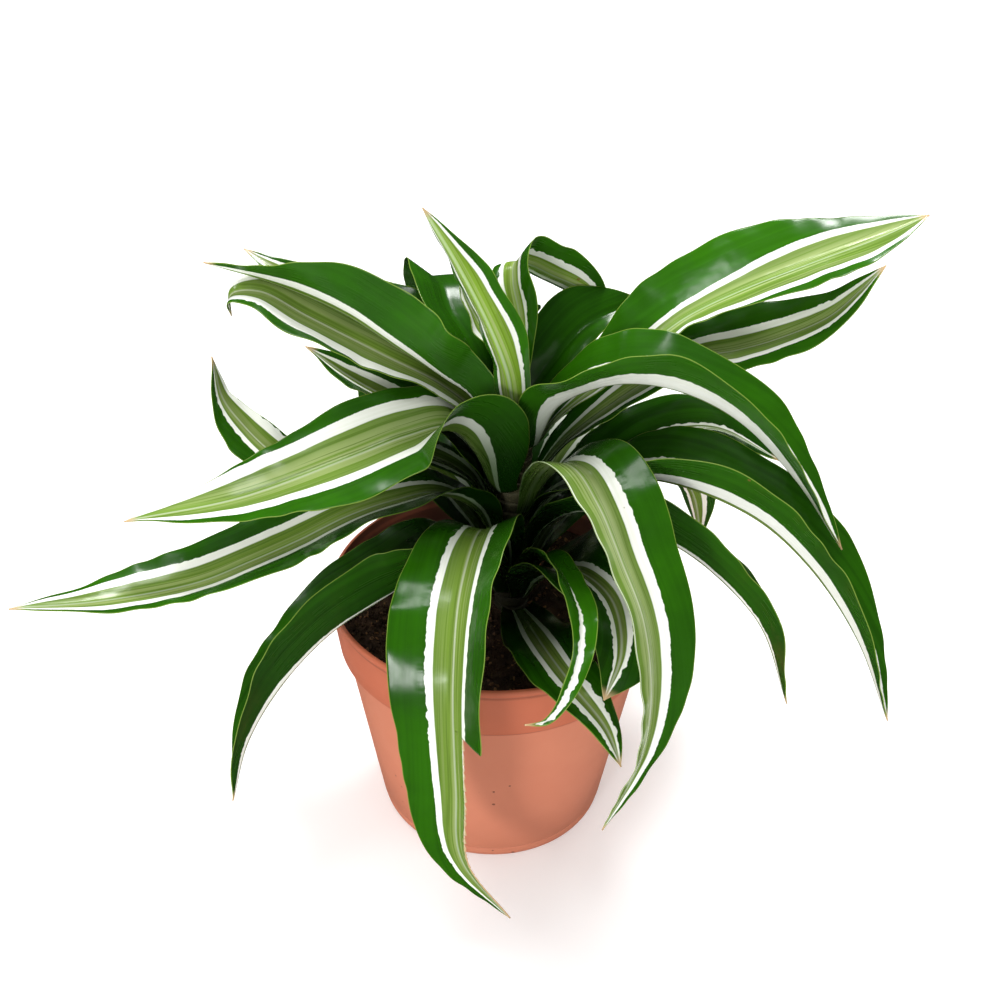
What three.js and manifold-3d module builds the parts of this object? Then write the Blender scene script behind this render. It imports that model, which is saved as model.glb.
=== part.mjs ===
// A dracaena with striped, arching leaves, growing in a round nursery pot.
// Millimetres, +Z up. The origin is the middle of the pot's underside, and -Y is the front.

import * as THREE from 'three';
import { mergeVertices } from 'three/addons/utils/BufferGeometryUtils.js';
import Module from 'manifold-3d';

// ---- Driving dimensions -------------------------------------------------------------------

const POT_HEIGHT = 98;
const POT_RIM_RADIUS = 60;
const POT_FOOT_RADIUS = 43;
const POT_WALL = 1.6;
const POT_SIDES = 48;
const COLLAR_HEIGHT = 22;
const COLLAR_FOOT_RADIUS = 57.4;
const BODY_TOP_RADIUS = 55.2;
const LIP_HEIGHT = 3;
const LIP_PROUD = 0.6;
const FOOT_CHAMFER = 1.5;
const DRAIN_HOLES = 8;
const DRAIN_RADIUS = 4;
const DRAIN_CIRCLE = 31;

const GAP = 0.3;

const SOIL_TOP = 86;
const SOIL_CROWN = 1.5;
const SOIL_LUMP = 0.9;
const SOIL_RINGS = 7;

const STEM_OFFSET = 6;
const STEM_RADIUS = 6.2;
const STEM_FOOT = 66;
const STEM_TOP = 181;
const STEM_SIDES = 20;

const BLADE_THICKNESS = 0.7;
const KEEL_THICKNESS = 1.5;
const BLADE_STEPS = 18;
const TIP_HALF_WIDTH = 0.6;
const WAVE_HEIGHT = 1.0;
const WAVES = 3;
const KEEL_ROUNDING = 0.12;
const CLASP_END = 0.2;
const HOOD_FADE = 0.14;
// Share of the length where one side of a flared blade starts to widen, and over which it does
const FLARE_START = 0.5;
const FLARE_FADE = 0.3;
const HOOD_ROOT = 0.4;
const NO_HOOD = { on: 0, share: 0, slope: 0, until: 1 };
const BLADE_STATIONS = [-1, -0.55, 0, 0.55, 1];
const HOOD_STATIONS = [-1, -0.55, 0, 0.2, 0.45, 0.72, 1];

// ---- Leaf forms ----------------------------------------------------------------------------

// Every leaf clasps the stem in an arc at its root, then opens out. Slopes of its cross-section
// there are in degrees, for the middle and the tip: fold beside the keel, edge at the margin.
// Root is the share of the full width at the stem, and peak is where the blade is widest.
const FOLDED = { fold: [15, 50, 40], edge: [15, 48, 30], root: 0.28, peak: 0.4 };
const OPEN = { fold: [25, 18], edge: [12, 5], root: 0.28, peak: 0.42 };

// Each leaf leaves the stem at its root, [heading, height], and follows its path, a list of
// [heading in degrees, reach from the stem's axis, height]. Heading 0 is right, 90 is back,
// 180 is left and 270 is front. Roll turns the blade about its length, at root, middle and tip.
// Base is the root's [heading, height]; baseReach sets it in from the stem's skin. Sides are the
// shares of the half width on the two sides of the keel, and flare is one side's share near the
// tip, [side, share]. A hood is a root whose one side stands up around the stem.
const LEAVES = {
  // Heart
  leaf_heart_spear: {
    width: 12, roll: [0, 0, 0], fold: [25, 35], edge: [20, 20], root: 0.4, peak: 0.5, base: [145, 181.8],
    baseReach: 2,
    path: [[146, 8, 190], [154, 15, 201], [160, 19, 211], [162, 20, 219]],
  },
  leaf_heart_tall: {
    width: 21, roll: [0, -8, 0], fold: [45, 50], edge: [50, 50], root: 0.6, peak: 0.35, base: [262, 178],
    path: [[250, 9.5, 191], [222, 12, 206], [193, 20, 226], [184, 30, 243]],
  },
  leaf_heart_turned: {
    ...OPEN, width: 27, roll: [0, -25, -25], root: 0.15, peak: 0.6, sides: [1, 0.7], base: [72, 178],
    path: [[86, 14, 198], [94, 21, 208], [92, 27, 212], [84, 31, 210], [72, 37, 204], [60, 45, 197],
      [53, 54, 187]],
  },
  // Upper whorl
  leaf_back_upper: {
    ...OPEN, width: 23, roll: [0, 0, 0], root: 0.24, peak: 0.6, base: [106, 172],
    path: [[103, 15, 188], [97, 24, 192], [94, 37, 190], [99, 56, 182], [100, 76, 164]],
  },
  leaf_back_left_upper: {
    ...OPEN, width: 26, roll: [0, 0, 0], root: 0.12, base: [143, 166],
    path: [[143, 15, 182], [140, 22, 190], [136, 32, 196], [128, 43, 200], [124, 54, 198], [121, 66, 188],
      [119, 76, 171]],
  },
  leaf_back_right_short: {
    ...FOLDED, width: 30, roll: [0, 0, 0], fold: [40, 20], edge: [15, 5], root: 0.15, peak: 0.6,
    sides: [0.5, 1], base: [72, 155],
    path: [[70, 15, 168], [60, 23, 176], [50, 37, 188], [41, 58, 193.5]],
  },
  leaf_upper_right: {
    ...OPEN, width: 46, roll: [0, 8, 8], root: 0.1, peak: 0.55, sides: [0.56, 0.92], flare: [-1, 1.1],
    base: [18, 156],
    path: [[17, 15, 166], [17, 30, 178], [17, 44, 189], [17, 58, 199], [16, 75, 207], [15, 100, 215.5],
      [14, 122, 222.5], [14, 140, 228.5]],
  },
  leaf_back_left_far: {
    ...OPEN, width: 28, roll: [0, 0, 0], root: 0.2, base: [115, 142],
    path: [[117, 15, 157], [132, 46, 179], [146, 78, 190], [151, 98, 199], [152, 109, 204]],
  },
  leaf_upper_left: {
    ...FOLDED, width: 44, roll: [0, 38, 15], sides: [0.4, 1],
    hood: { on: 1, side: 1, share: 0.7, slope: 75, until: 0.2 }, base: [168, 157],
    path: [[166, 15, 174], [165, 24, 179], [166, 40, 188], [167, 59, 199], [168, 80, 207], [170, 105, 214]],
  },
  leaf_right_arch: {
    ...FOLDED, width: 42, roll: [0, -11, 0], root: 0.3, peak: 0.25,
    hood: { on: 1, side: -1, share: 0.62, slope: 55, until: 0.12 }, base: [343, 159],
    path: [[344, 15, 176], [345, 31, 186], [345, 50, 188], [344, 73, 181], [341, 95, 165], [339, 113, 145]],
  },
  leaf_right_raised: {
    ...OPEN, width: 42, roll: [0, 8, 8], fold: [28, 20], root: 0.2, peak: 0.52, sides: [0.75, 0.78],
    flare: [-1, 1.15], base: [13, 143],
    path: [[14, 15, 154], [14, 30, 167], [13, 48, 179.5], [12, 63, 186], [11, 76, 188.5], [10, 89, 192.5],
      [8, 104, 201], [7, 112, 210], [6, 119, 220]],
  },
  leaf_left_curled: {
    ...OPEN, width: 40, roll: [0, -5, 0], peak: 0.62, sides: [0.75, 0.65], flare: [1, 1], base: [162, 150],
    path: [[163, 15, 167], [164, 26, 175.5], [168, 45, 185], [170, 71, 198], [171, 86, 206], [172, 95, 205],
      [172, 96, 197]],
  },
  // Middle whorl
  leaf_left_tucked: {
    ...FOLDED, width: 34, roll: [0, 0, 0], fold: [15, 32, 30], edge: [15, 25, 20], base: [154, 136],
    path: [[154, 15, 152], [155, 27, 159], [158, 48, 164], [159, 63, 170], [160, 78, 179]],
  },
  leaf_left_broad: {
    ...OPEN, width: 48, roll: [0, -22, -2], fold: [28, 15], root: 0.3, peak: 0.34, sides: [0.8, 1.05],
    hood: { on: 1, side: 1, share: 1.12, slope: 74, until: 0.2 }, base: [202, 141],
    path: [[201, 15, 159], [199, 23, 168], [199, 38, 167], [200, 57, 163], [200, 94, 155], [200, 131, 154]],
  },
  leaf_back_left_middle: {
    ...FOLDED, width: 38, roll: [0, -10, 0], root: 0.2, base: [113, 124],
    path: [[111, 15, 139], [114, 30, 150], [117, 44, 156], [120, 73, 152], [121, 102, 130], [122, 116, 100]],
  },
  leaf_right_behind: {
    ...FOLDED, width: 32, roll: [0, 0, 0], fold: [40, 20], edge: [15, 10], root: 0.2, base: [16, 122],
    path: [[16, 15, 133], [14, 26, 138], [12, 36, 145], [11, 48, 155], [8, 69, 159], [6, 94, 146]],
  },
  leaf_right_long: {
    ...FOLDED, width: 44, roll: [0, -18, -5], base: [338, 129],
    path: [[338, 15, 142], [337, 31, 150], [336, 52, 158], [336, 84, 153], [336, 105, 139], [335, 124, 118],
      [335, 139, 88]],
  },
  leaf_front_right_arch: {
    ...FOLDED, width: 48, roll: [0, -18, -18], fold: [15, 36, 30], edge: [15, 30, 15], peak: 0.34,
    sides: [0.68, 0.66], flare: [1, 0.45], base: [312, 133],
    path: [[311, 15, 150], [308, 28, 164], [305, 42, 169], [303, 55, 164], [302, 67, 153], [302, 80, 138],
      [301, 88, 118], [299, 90, 92], [293, 82, 51]],
  },
  leaf_left_upturned: {
    ...OPEN, width: 38, roll: [0, -10, -15], peak: 0.5, sides: [0.6, 0.6], flare: [1, 1.3], base: [177, 127],
    path: [[176, 15, 142], [176, 28, 150], [175, 45, 150], [175, 60, 145], [175, 71, 140], [175, 80, 143],
      [175, 87, 149], [174, 95, 157], [174, 101, 167], [174, 103, 183]],
  },
  leaf_right_front_low: {
    ...FOLDED, width: 34, roll: [0, -26, -8], root: 0.22, sides: [1, 0.75], base: [322, 116],
    path: [[320, 15, 131], [323, 28, 142], [327, 45, 144], [329, 60, 140], [331, 75, 132], [332, 93, 116],
      [333, 106, 85]],
  },
  leaf_left_long: {
    ...OPEN, width: 38, roll: [0, 0, 0], root: 0.3, peak: 0.5,
    hood: { on: 1, side: 1, share: 0.6, slope: 60, until: 0.12 }, base: [207, 119],
    path: [[204, 15, 135], [203, 28, 144], [204, 45, 145], [204, 60, 143], [204, 77, 138], [205, 95, 135],
      [205, 112, 132], [206, 143, 136], [206, 170, 142]],
  },
  leaf_back_right_middle: {
    ...OPEN, width: 34, roll: [0, 0, 0], base: [60, 113],
    path: [[60, 15, 125], [60, 42, 139], [60, 76, 124], [60, 104, 98], [60, 116, 68]],
  },
  leaf_front_hanging: {
    ...FOLDED, width: 43, roll: [0, 28, 15], fold: [15, 32, 20], edge: [15, 28, 10], root: 0.2,
    base: [256, 108],
    path: [[254, 15, 124], [250, 32, 142], [254, 60, 138], [257, 80, 120], [259, 89, 82], [260, 88, 48],
      [271, 84, 15]],
  },
  leaf_back_middle: {
    ...FOLDED, width: 38, roll: [0, 10, 0], base: [98, 104],
    path: [[100, 15, 118], [101, 40, 133], [100, 74, 129], [98, 104, 106], [98, 118, 74]],
  },
  // Lower whorl
  leaf_back_right_low: {
    ...OPEN, width: 36, roll: [0, 0, 0], base: [34, 100],
    path: [[36, 15, 114], [40, 45, 126], [42, 78, 118], [43, 101, 92], [43, 110, 64]],
  },
  leaf_front_left_folded: {
    ...FOLDED, width: 47, roll: [0, 32, 25], root: 0.24, peak: 0.3, sides: [1.1, 1], base: [222, 98],
    path: [[218, 15, 113], [215, 28, 121], [214, 50, 114], [215, 74, 108], [216, 94, 96], [217, 109, 80],
      [218, 118, 59]],
  },
  leaf_back_left_low: {
    ...OPEN, width: 38, roll: [0, 0, 0], base: [142, 100],
    path: [[140, 16, 116], [140, 45, 130], [141, 80, 118], [142, 105, 88], [142, 116, 58]],
  },
  leaf_front_hooked: {
    width: 13, roll: [0, -20, 0], fold: [30, 30], edge: [30, 30], root: 0.3, peak: 0.4, base: [285, 102],
    path: [[286, 15, 115], [288, 34, 133], [288, 57, 139], [286, 76, 136], [282.5, 85, 124], [277, 90, 114],
      [272.5, 93, 115.5]],
  },
  leaf_front_right_dark: {
    ...FOLDED, width: 44, roll: [0, -10, -10], fold: [28, 25], edge: [20, 10], sides: [1, 1.25],
    base: [314, 96],
    path: [[312, 15, 108], [309, 36, 124], [306, 56, 125], [300, 70, 117], [293, 76, 105]],
  },
  leaf_back_low: {
    ...OPEN, width: 38, roll: [0, 0, 0], base: [74, 90],
    path: [[75, 15, 102], [75, 40, 114], [75, 72, 106], [75, 97, 78], [75, 108, 44]],
  },
  leaf_front_small: {
    width: 26, roll: [0, 0, 0], fold: [15, 20], edge: [5, 5], root: 0.5, peak: 0.4, base: [292, 90],
    path: [[286, 20, 95], [286, 44, 101], [288, 67, 104], [292, 81, 98], [294, 88, 86]],
  },
};

const COLOURS = {
  pot: 0xc46f4c,
  soil: 0x33241b,
  stem: 0x8a8d5a,
  leaf: 0x3c7a2a,
  youngLeaf: 0x8fb356,
};

// ---- Small helpers ---------------------------------------------------------------------------

const wasm = await Module();
wasm.setup();

const radians = THREE.MathUtils.degToRad;
const smooth = (x) => THREE.MathUtils.smoothstep(x, 0, 1);

// A value along the blade, from the ones given for its middle and tip, and for its root if three.
function blendAlong(values, t) {
  const [root, middle, tip] = values.length === 3 ? values : [values[0], ...values];
  return t < 0.5 ? root + (middle - root) * smooth(t * 2) : middle + (tip - middle) * smooth(t * 2 - 1);
}

function material(colour, roughness) {
  return new THREE.MeshStandardMaterial({ color: colour, roughness, metalness: 0 });
}

function mesh(name, geometry, finish) {
  geometry.computeVertexNormals();
  const piece = new THREE.Mesh(geometry, finish);
  piece.name = name;
  return piece;
}

function toSolid(geometry) {
  const bare = geometry.clone();
  bare.deleteAttribute('normal');
  bare.deleteAttribute('uv');
  const merged = mergeVertices(bare, 1e-4);
  return new wasm.Manifold(new wasm.Mesh({
    numProp: 3,
    vertProperties: new Float32Array(merged.attributes.position.array),
    triVerts: new Uint32Array(merged.index.array),
  }));
}

function fromSolid(solid) {
  const { vertProperties, triVerts } = solid.getMesh();
  const geometry = new THREE.BufferGeometry();
  geometry.setAttribute('position', new THREE.BufferAttribute(new Float32Array(vertProperties), 3));
  geometry.setIndex(Array.from(triVerts));
  return geometry;
}

function lathe(profile, sides) {
  const geometry = new THREE.LatheGeometry(profile.map(([r, z]) => new THREE.Vector2(r, z)), sides);
  return geometry.rotateX(Math.PI / 2);
}

function upright(radius, bottom, top, sides) {
  const geometry = new THREE.CylinderGeometry(radius, radius, top - bottom, sides);
  return geometry.rotateX(Math.PI / 2).translate(0, 0, (bottom + top) / 2);
}

// ---- Pot, soil and stem ------------------------------------------------------------------------

const collarFoot = POT_HEIGHT - COLLAR_HEIGHT;
const innerSlope = (POT_RIM_RADIUS - COLLAR_FOOT_RADIUS) / COLLAR_HEIGHT;

function makePot() {
  const lipFoot = POT_HEIGHT - LIP_HEIGHT;
  const radiusAtLip = POT_RIM_RADIUS - innerSlope * LIP_HEIGHT - LIP_PROUD;
  const outside = [
    [0, 0],
    [POT_FOOT_RADIUS - FOOT_CHAMFER, 0],
    [POT_FOOT_RADIUS, FOOT_CHAMFER],
    [BODY_TOP_RADIUS, collarFoot],
    [COLLAR_FOOT_RADIUS, collarFoot + 0.8],
    [radiusAtLip, lipFoot],
    [POT_RIM_RADIUS - 0.4, lipFoot + 0.5],
    [POT_RIM_RADIUS, POT_HEIGHT - 0.5],
    [POT_RIM_RADIUS - 0.5, POT_HEIGHT],
  ];
  const inside = [
    [POT_RIM_RADIUS - POT_WALL, POT_HEIGHT],
    [COLLAR_FOOT_RADIUS - POT_WALL, collarFoot + POT_WALL],
    [BODY_TOP_RADIUS - POT_WALL, collarFoot - 0.4],
    [POT_FOOT_RADIUS - POT_WALL, POT_WALL],
    [0, POT_WALL],
  ];
  let pot = toSolid(lathe([...outside, ...inside], POT_SIDES));
  for (let i = 0; i < DRAIN_HOLES; i += 1) {
    const angle = (i + 0.5) * 2 * Math.PI / DRAIN_HOLES;
    const drill = upright(DRAIN_RADIUS, -1, POT_WALL + 1, 12);
    drill.translate(DRAIN_CIRCLE * Math.cos(angle), DRAIN_CIRCLE * Math.sin(angle), 0);
    pot = pot.subtract(toSolid(drill));
  }
  return mesh('pot', fromSolid(pot), material(COLOURS.pot, 0.5));
}

// Height of the soil's surface: a low mound with rounded lumps.
function soilHeight(x, y, edge) {
  const out = Math.hypot(x, y) / edge;
  const lumps = Math.sin(x * 0.31 + 1.3) * Math.cos(y * 0.27 - 0.4) + 0.5 * Math.sin(x * 0.13 - y * 0.17);
  return SOIL_TOP + SOIL_CROWN * (1 - out * out) + SOIL_LUMP * lumps * (1 - out ** 6);
}

function makeSoil() {
  const inner = POT_WALL + GAP;
  const edge = COLLAR_FOOT_RADIUS + innerSlope * (SOIL_TOP - collarFoot) - inner - 0.2;
  const profile = [
    [0, inner],
    [POT_FOOT_RADIUS - inner - 0.4, inner],
    [BODY_TOP_RADIUS - inner - 0.2, collarFoot - 1],
    [COLLAR_FOOT_RADIUS - inner - 0.2, collarFoot + POT_WALL + 0.6],
  ];
  for (let ring = 0; ring <= SOIL_RINGS; ring += 1) {
    profile.push([edge * (1 - ring / SOIL_RINGS), SOIL_TOP]);
  }
  const geometry = lathe(profile, POT_SIDES);
  const place = geometry.attributes.position;
  for (let i = 0; i < place.count; i += 1) {
    if (place.getZ(i) > SOIL_TOP - 0.01) {
      place.setZ(i, soilHeight(place.getX(i), place.getY(i), edge));
    }
  }
  const hole = upright(STEM_RADIUS + GAP, STEM_FOOT - GAP, SOIL_TOP + 10, STEM_SIDES);
  hole.translate(STEM_OFFSET, 0, 0);
  return mesh('soil', fromSolid(toSolid(geometry).subtract(toSolid(hole))), material(COLOURS.soil, 0.95));
}

function makeStem() {
  const shoulder = 3;
  const profile = [
    [0, STEM_FOOT],
    [STEM_RADIUS, STEM_FOOT],
    [STEM_RADIUS, STEM_TOP - shoulder],
    [STEM_RADIUS * 0.6, STEM_TOP],
    [0, STEM_TOP],
  ];
  return mesh('stem', fromSolid(toSolid(lathe(profile, STEM_SIDES))), material(COLOURS.stem, 0.7));
}

// ---- Leaves --------------------------------------------------------------------------------------

function alongPath(leaf) {
  const [heading0, height0] = leaf.base;
  const reach0 = leaf.baseReach ?? STEM_RADIUS + GAP + KEEL_THICKNESS / 2;
  const stops = [[heading0, reach0, height0], ...leaf.path];
  const points = stops.map(([heading, reach, height]) => new THREE.Vector3(
    reach * Math.cos(radians(heading)),
    reach * Math.sin(radians(heading)),
    height,
  ));
  return new THREE.CatmullRomCurve3(points, false, 'centripetal').getSpacedPoints(BLADE_STEPS);
}

// Share of the full half width: narrow at the root, widest at the peak, drawn out to a fine tip.
function widthShare(t, root, peak) {
  if (t < peak) {
    return root + (1 - root) * Math.sin(t / peak * Math.PI / 2) ** 1.3;
  }
  return 1 - ((t - peak) / (1 - peak)) ** 1.9;
}

// Frames carried along the path without twist, then rolled: side runs across the blade and up
// is the side that faced the stem at the root.
function framesAlong(points, leaf) {
  const heading = radians(leaf.base[0]);
  const side = new THREE.Vector3(-Math.sin(heading), Math.cos(heading), 0);
  return points.map((point, i) => {
    const before = points[Math.max(i - 1, 0)];
    const after = points[Math.min(i + 1, points.length - 1)];
    const along = after.clone().sub(before).normalize();
    side.addScaledVector(along, -side.dot(along)).normalize();
    const turn = radians(blendAlong(leaf.roll, i / BLADE_STEPS));
    const across = side.clone().applyAxisAngle(along, turn);
    return { point, along, across, up: along.clone().cross(across) };
  });
}

// A point of the blade's middle surface. Station runs from -1 at one margin to 1 at the other.
function bladePoint(leaf, frame, t, station) {
  const plainShare = (leaf.sides ?? [1, 1])[station > 0 ? 1 : 0];
  const [flareSide, flareShare] = leaf.flare ?? [0, 1];
  const flared = station * flareSide > 0 ? smooth((t - FLARE_START) / FLARE_FADE) : 0;
  const sideShare = plainShare + (flareShare - plainShare) * flared;
  const full = leaf.width / 2 * sideShare * widthShare(t, leaf.root, leaf.peak);
  const hood = leaf.hood && station * leaf.hood.side > 0 ? leaf.hood : NO_HOOD;
  const raised = 1 - smooth((t - hood.until) / HOOD_FADE);
  const spread = HOOD_ROOT + (1 - HOOD_ROOT) * smooth(t / hood.until);
  const half = Math.max(full, TIP_HALF_WIDTH, leaf.width / 2 * hood.share * raised * spread);
  const fold = radians(blendAlong(leaf.fold, t));
  const edge = radians(blendAlong(leaf.edge, t));
  const clasp = half / Math.hypot(frame.point.x, frame.point.y);
  const opened = smooth(t / (hood.on ? hood.until : CLASP_END));
  const slices = 12;
  let out = 0;
  let rise = 0;
  for (let i = 0; i < slices; i += 1) {
    const share = (i + 0.5) / slices * Math.abs(station);
    const free = fold * Math.min(1, share / KEEL_ROUNDING) * (1 - share) + edge * share;
    const stood = radians(hood.slope) * Math.min(1, share / KEEL_ROUNDING / 2);
    const open = free + (stood - free) * raised * hood.on;
    const slope = clasp * share * (1 - opened) + open * opened;
    out += Math.cos(slope) * Math.abs(station) / slices;
    rise += Math.sin(slope) * Math.abs(station) / slices;
  }
  const swing = Math.sin(2 * Math.PI * (WAVES * t + (station > 0 ? 0.25 : 0)));
  const wave = WAVE_HEIGHT * swing * station * station * Math.sin(Math.PI * t);
  return frame.point.clone()
    .addScaledVector(frame.across, Math.sign(station) * out * half)
    .addScaledVector(frame.up, rise * half + wave);
}

function bladeThickness(t, station) {
  return BLADE_THICKNESS + (KEEL_THICKNESS - BLADE_THICKNESS) * (1 - Math.abs(station)) * (1 - t) ** 2;
}

// Upper and lower faces share one way of splitting into triangles, so they never cross.
function bladeGeometry(leaf) {
  const frames = framesAlong(alongPath(leaf), leaf);
  const stations = leaf.hood ? HOOD_STATIONS.map((station) => station * leaf.hood.side) : BLADE_STATIONS;
  stations.sort((a, b) => a - b);
  const last = stations.length - 1;
  const middle = frames.map((frame, i) => (
    stations.map((station) => bladePoint(leaf, frame, i / BLADE_STEPS, station))));
  const positions = [];
  for (const side of [1, -1]) {
    middle.forEach((row, i) => row.forEach((point, j) => {
      const ahead = middle[Math.min(i + 1, BLADE_STEPS)][j].clone().sub(middle[Math.max(i - 1, 0)][j]);
      const before = point.clone().sub(row[Math.max(j - 1, 0)]).normalize();
      const after = row[Math.min(j + 1, last)].clone().sub(point).normalize();
      const normal = ahead.cross(before.clone().add(after)).normalize();
      const mitre = 1 / Math.max(0.6, Math.cos(before.angleTo(after) / 2 || 0));
      const depth = bladeThickness(i / BLADE_STEPS, stations[j]) / 2;
      const spread = j === 0 || j === last ? 1 : mitre;
      positions.push(...point.clone().addScaledVector(normal, side * depth * spread).toArray());
    }));
  }
  const columns = last + 1;
  const lower = columns * (BLADE_STEPS + 1);
  const triangles = [];
  const quad = (a, b, c, d) => triangles.push(a, b, c, a, c, d);
  const at = (i, j) => i * columns + j;
  for (let i = 0; i < BLADE_STEPS; i += 1) {
    for (let j = 0; j < last; j += 1) {
      const corners = [at(i, j), at(i + 1, j), at(i + 1, j + 1), at(i, j + 1)];
      quad(...corners);
      const [a, b, c, d] = corners.map((k) => k + lower);
      triangles.push(a, c, b, a, d, c);
    }
    quad(at(i, 0), at(i, 0) + lower, at(i + 1, 0) + lower, at(i + 1, 0));
    quad(at(i + 1, last), at(i + 1, last) + lower, at(i, last) + lower, at(i, last));
  }
  for (let j = 0; j < last; j += 1) {
    quad(at(0, j + 1), at(0, j + 1) + lower, at(0, j) + lower, at(0, j));
    quad(at(BLADE_STEPS, j), at(BLADE_STEPS, j) + lower, at(BLADE_STEPS, j + 1) + lower,
      at(BLADE_STEPS, j + 1));
  }
  const geometry = new THREE.BufferGeometry();
  geometry.setAttribute('position', new THREE.BufferAttribute(new Float32Array(positions), 3));
  geometry.setIndex(triangles);
  return geometry;
}

function makeLeaf(name, leaf) {
  const young = name.startsWith('leaf_heart');
  return mesh(name, bladeGeometry(leaf), material(young ? COLOURS.youngLeaf : COLOURS.leaf, 0.4));
}

// ---- The whole plant ---------------------------------------------------------------------------

const plant = new THREE.Group();
plant.position.x = STEM_OFFSET;
plant.add(makeStem());
for (const [name, leaf] of Object.entries(LEAVES)) {
  plant.add(makeLeaf(name, leaf));
}

const pottedPlant = new THREE.Group();
pottedPlant.add(makePot(), makeSoil(), plant);

export default pottedPlant;
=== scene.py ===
"""Potted dracaena: a leafy crown of striped, arching blades on one cane, in a round nursery pot.

Metres, +Z up, the front is -Y. Sizes inside the leaf tables are millimetres and degrees.
"""

import math

import bpy
import numpy as np
from bpy.props import FloatProperty, FloatVectorProperty, IntProperty, PointerProperty
from mathutils import Matrix, Vector


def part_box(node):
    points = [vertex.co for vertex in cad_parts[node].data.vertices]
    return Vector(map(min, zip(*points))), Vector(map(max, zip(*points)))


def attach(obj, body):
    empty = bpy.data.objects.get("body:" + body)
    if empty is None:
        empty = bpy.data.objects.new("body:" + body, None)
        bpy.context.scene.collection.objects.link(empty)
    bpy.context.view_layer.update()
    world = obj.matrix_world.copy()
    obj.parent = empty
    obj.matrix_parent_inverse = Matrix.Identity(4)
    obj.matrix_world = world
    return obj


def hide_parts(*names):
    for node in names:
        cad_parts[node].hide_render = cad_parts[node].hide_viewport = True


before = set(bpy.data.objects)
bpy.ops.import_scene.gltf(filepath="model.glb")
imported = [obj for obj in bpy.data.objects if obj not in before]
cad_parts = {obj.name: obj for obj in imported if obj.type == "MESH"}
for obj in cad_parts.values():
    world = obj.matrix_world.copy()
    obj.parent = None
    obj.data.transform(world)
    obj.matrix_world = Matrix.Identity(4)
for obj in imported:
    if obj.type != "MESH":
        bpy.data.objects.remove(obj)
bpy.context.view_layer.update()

bl_info = {
    "name": "Potted Dracaena",
    "version": (1, 0, 0),
    "blender": (4, 5, 0),
    "location": "View3D > Sidebar > Dracaena",
    "description": "Builds a striped dracaena in its nursery pot, piece by piece",
    "category": "Add Mesh",
}

MM = 0.001
POT_LOW, POT_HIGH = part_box("pot")


# ---- Sizes and colours that a user may change ----

def number(name, description, default, **kind):
    return FloatProperty(name=name, description=description, default=default, min=0.0, **kind)


def length(name, description, default):
    return number(name, description, default, precision=4, subtype="DISTANCE", unit="LENGTH")


def power(name, description, default):
    return number(name, description, default, unit="POWER")


def count(name, description, default, least=0):
    return IntProperty(name=name, description=description, default=default, min=least)


def angle(name, description, degrees):
    return FloatProperty(name=name, description=description, default=math.radians(degrees),
                         subtype="ANGLE", unit="ROTATION")


def colour(name, description, default):
    return FloatVectorProperty(name=name, description=description, default=default,
                               min=0.0, max=1.0, size=3, subtype="COLOR")


class DracaenaPotSizes(bpy.types.PropertyGroup):
    """Sizes of the nursery pot"""
    height: length("Height", "Height of the pot", POT_HIGH[2] - POT_LOW[2])
    rim_radius: length("Rim radius", "Outer radius at the rim", 0.060)
    foot_radius: length("Foot radius", "Outer radius at the foot", 0.043)
    wall: length("Wall", "Thickness of the moulded wall", 0.0016)
    collar_height: length("Collar height", "Height of the band below the rim", 0.022)
    collar_foot_radius: length("Collar foot radius", "Outer radius under the band", 0.0574)
    body_top_radius: length("Body top radius", "Outer radius just under the band's ledge", 0.0552)
    lip_height: length("Lip height", "Height of the bead round the rim", 0.003)
    lip_proud: length("Lip proud", "How far the bead stands out", 0.0006)
    drain_radius: length("Drain hole radius", "Radius of one drain hole", 0.004)
    drain_circle: length("Drain hole circle", "Radius of the ring of drain holes", 0.031)
    drain_holes: count("Drain holes", "Number of drain holes", 8)
    sides: count("Sides", "Steps round the pot", 176, 24)


class DracaenaSoilSizes(bpy.types.PropertyGroup):
    """Sizes of the potting mix"""
    top: length("Level", "Height of the mix at the pot's wall", 0.086)
    crown: length("Crown", "Rise of the mix towards the middle", 0.0015)
    lump: length("Lump", "Height of the rounded lumps", 0.0009)
    ripple: length("Ripple", "Height of the fine crumbly ripple", 0.00028)
    grain: length("Grain", "Size of a middling crumb", 0.0021)
    fibre: length("Fibre", "Length of a middling fibre", 0.0065)
    grain_density: number("Crumbs", "Crumbs on a square metre", 290000.0)
    fibre_density: number("Fibres", "Fibres on a square metre", 52000.0)
    seed: count("Seed", "Picks one layout of crumbs and fibres", 7)


class DracaenaPlantSizes(bpy.types.PropertyGroup):
    """Sizes of the cane and of every blade"""
    cane_offset: length("Cane offset", "How far right of the pot's middle the cane stands", 0.006)
    cane_radius: length("Cane radius", "Radius of the cane", 0.0062)
    cane_sides: count("Cane sides", "Steps round the cane", 40, 8)
    cane_foot: length("Cane foot", "Height of the cane's foot in the mix", 0.066)
    cane_top: length("Cane top", "Height of the cane's tip", 0.181)
    ring_pitch: length("Ring pitch", "Height between two leaf scars on the cane", 0.0042)
    blade_thickness: length("Blade thickness", "Thickness of a blade at its margin", 0.00045)
    keel_thickness: length("Keel thickness", "Thickness of a blade at the foot of its keel", 0.0014)
    wave_height: length("Wave height", "Height of the long waves in a margin", 0.001)
    ruffle_height: length("Ruffle height", "Height of the short ruffles in a margin", 0.00055)
    blade_steps: count("Blade steps", "Steps along a blade", 190, 40)
    half_columns: count("Half columns", "Columns on each side of the keel", 13, 4)


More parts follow.
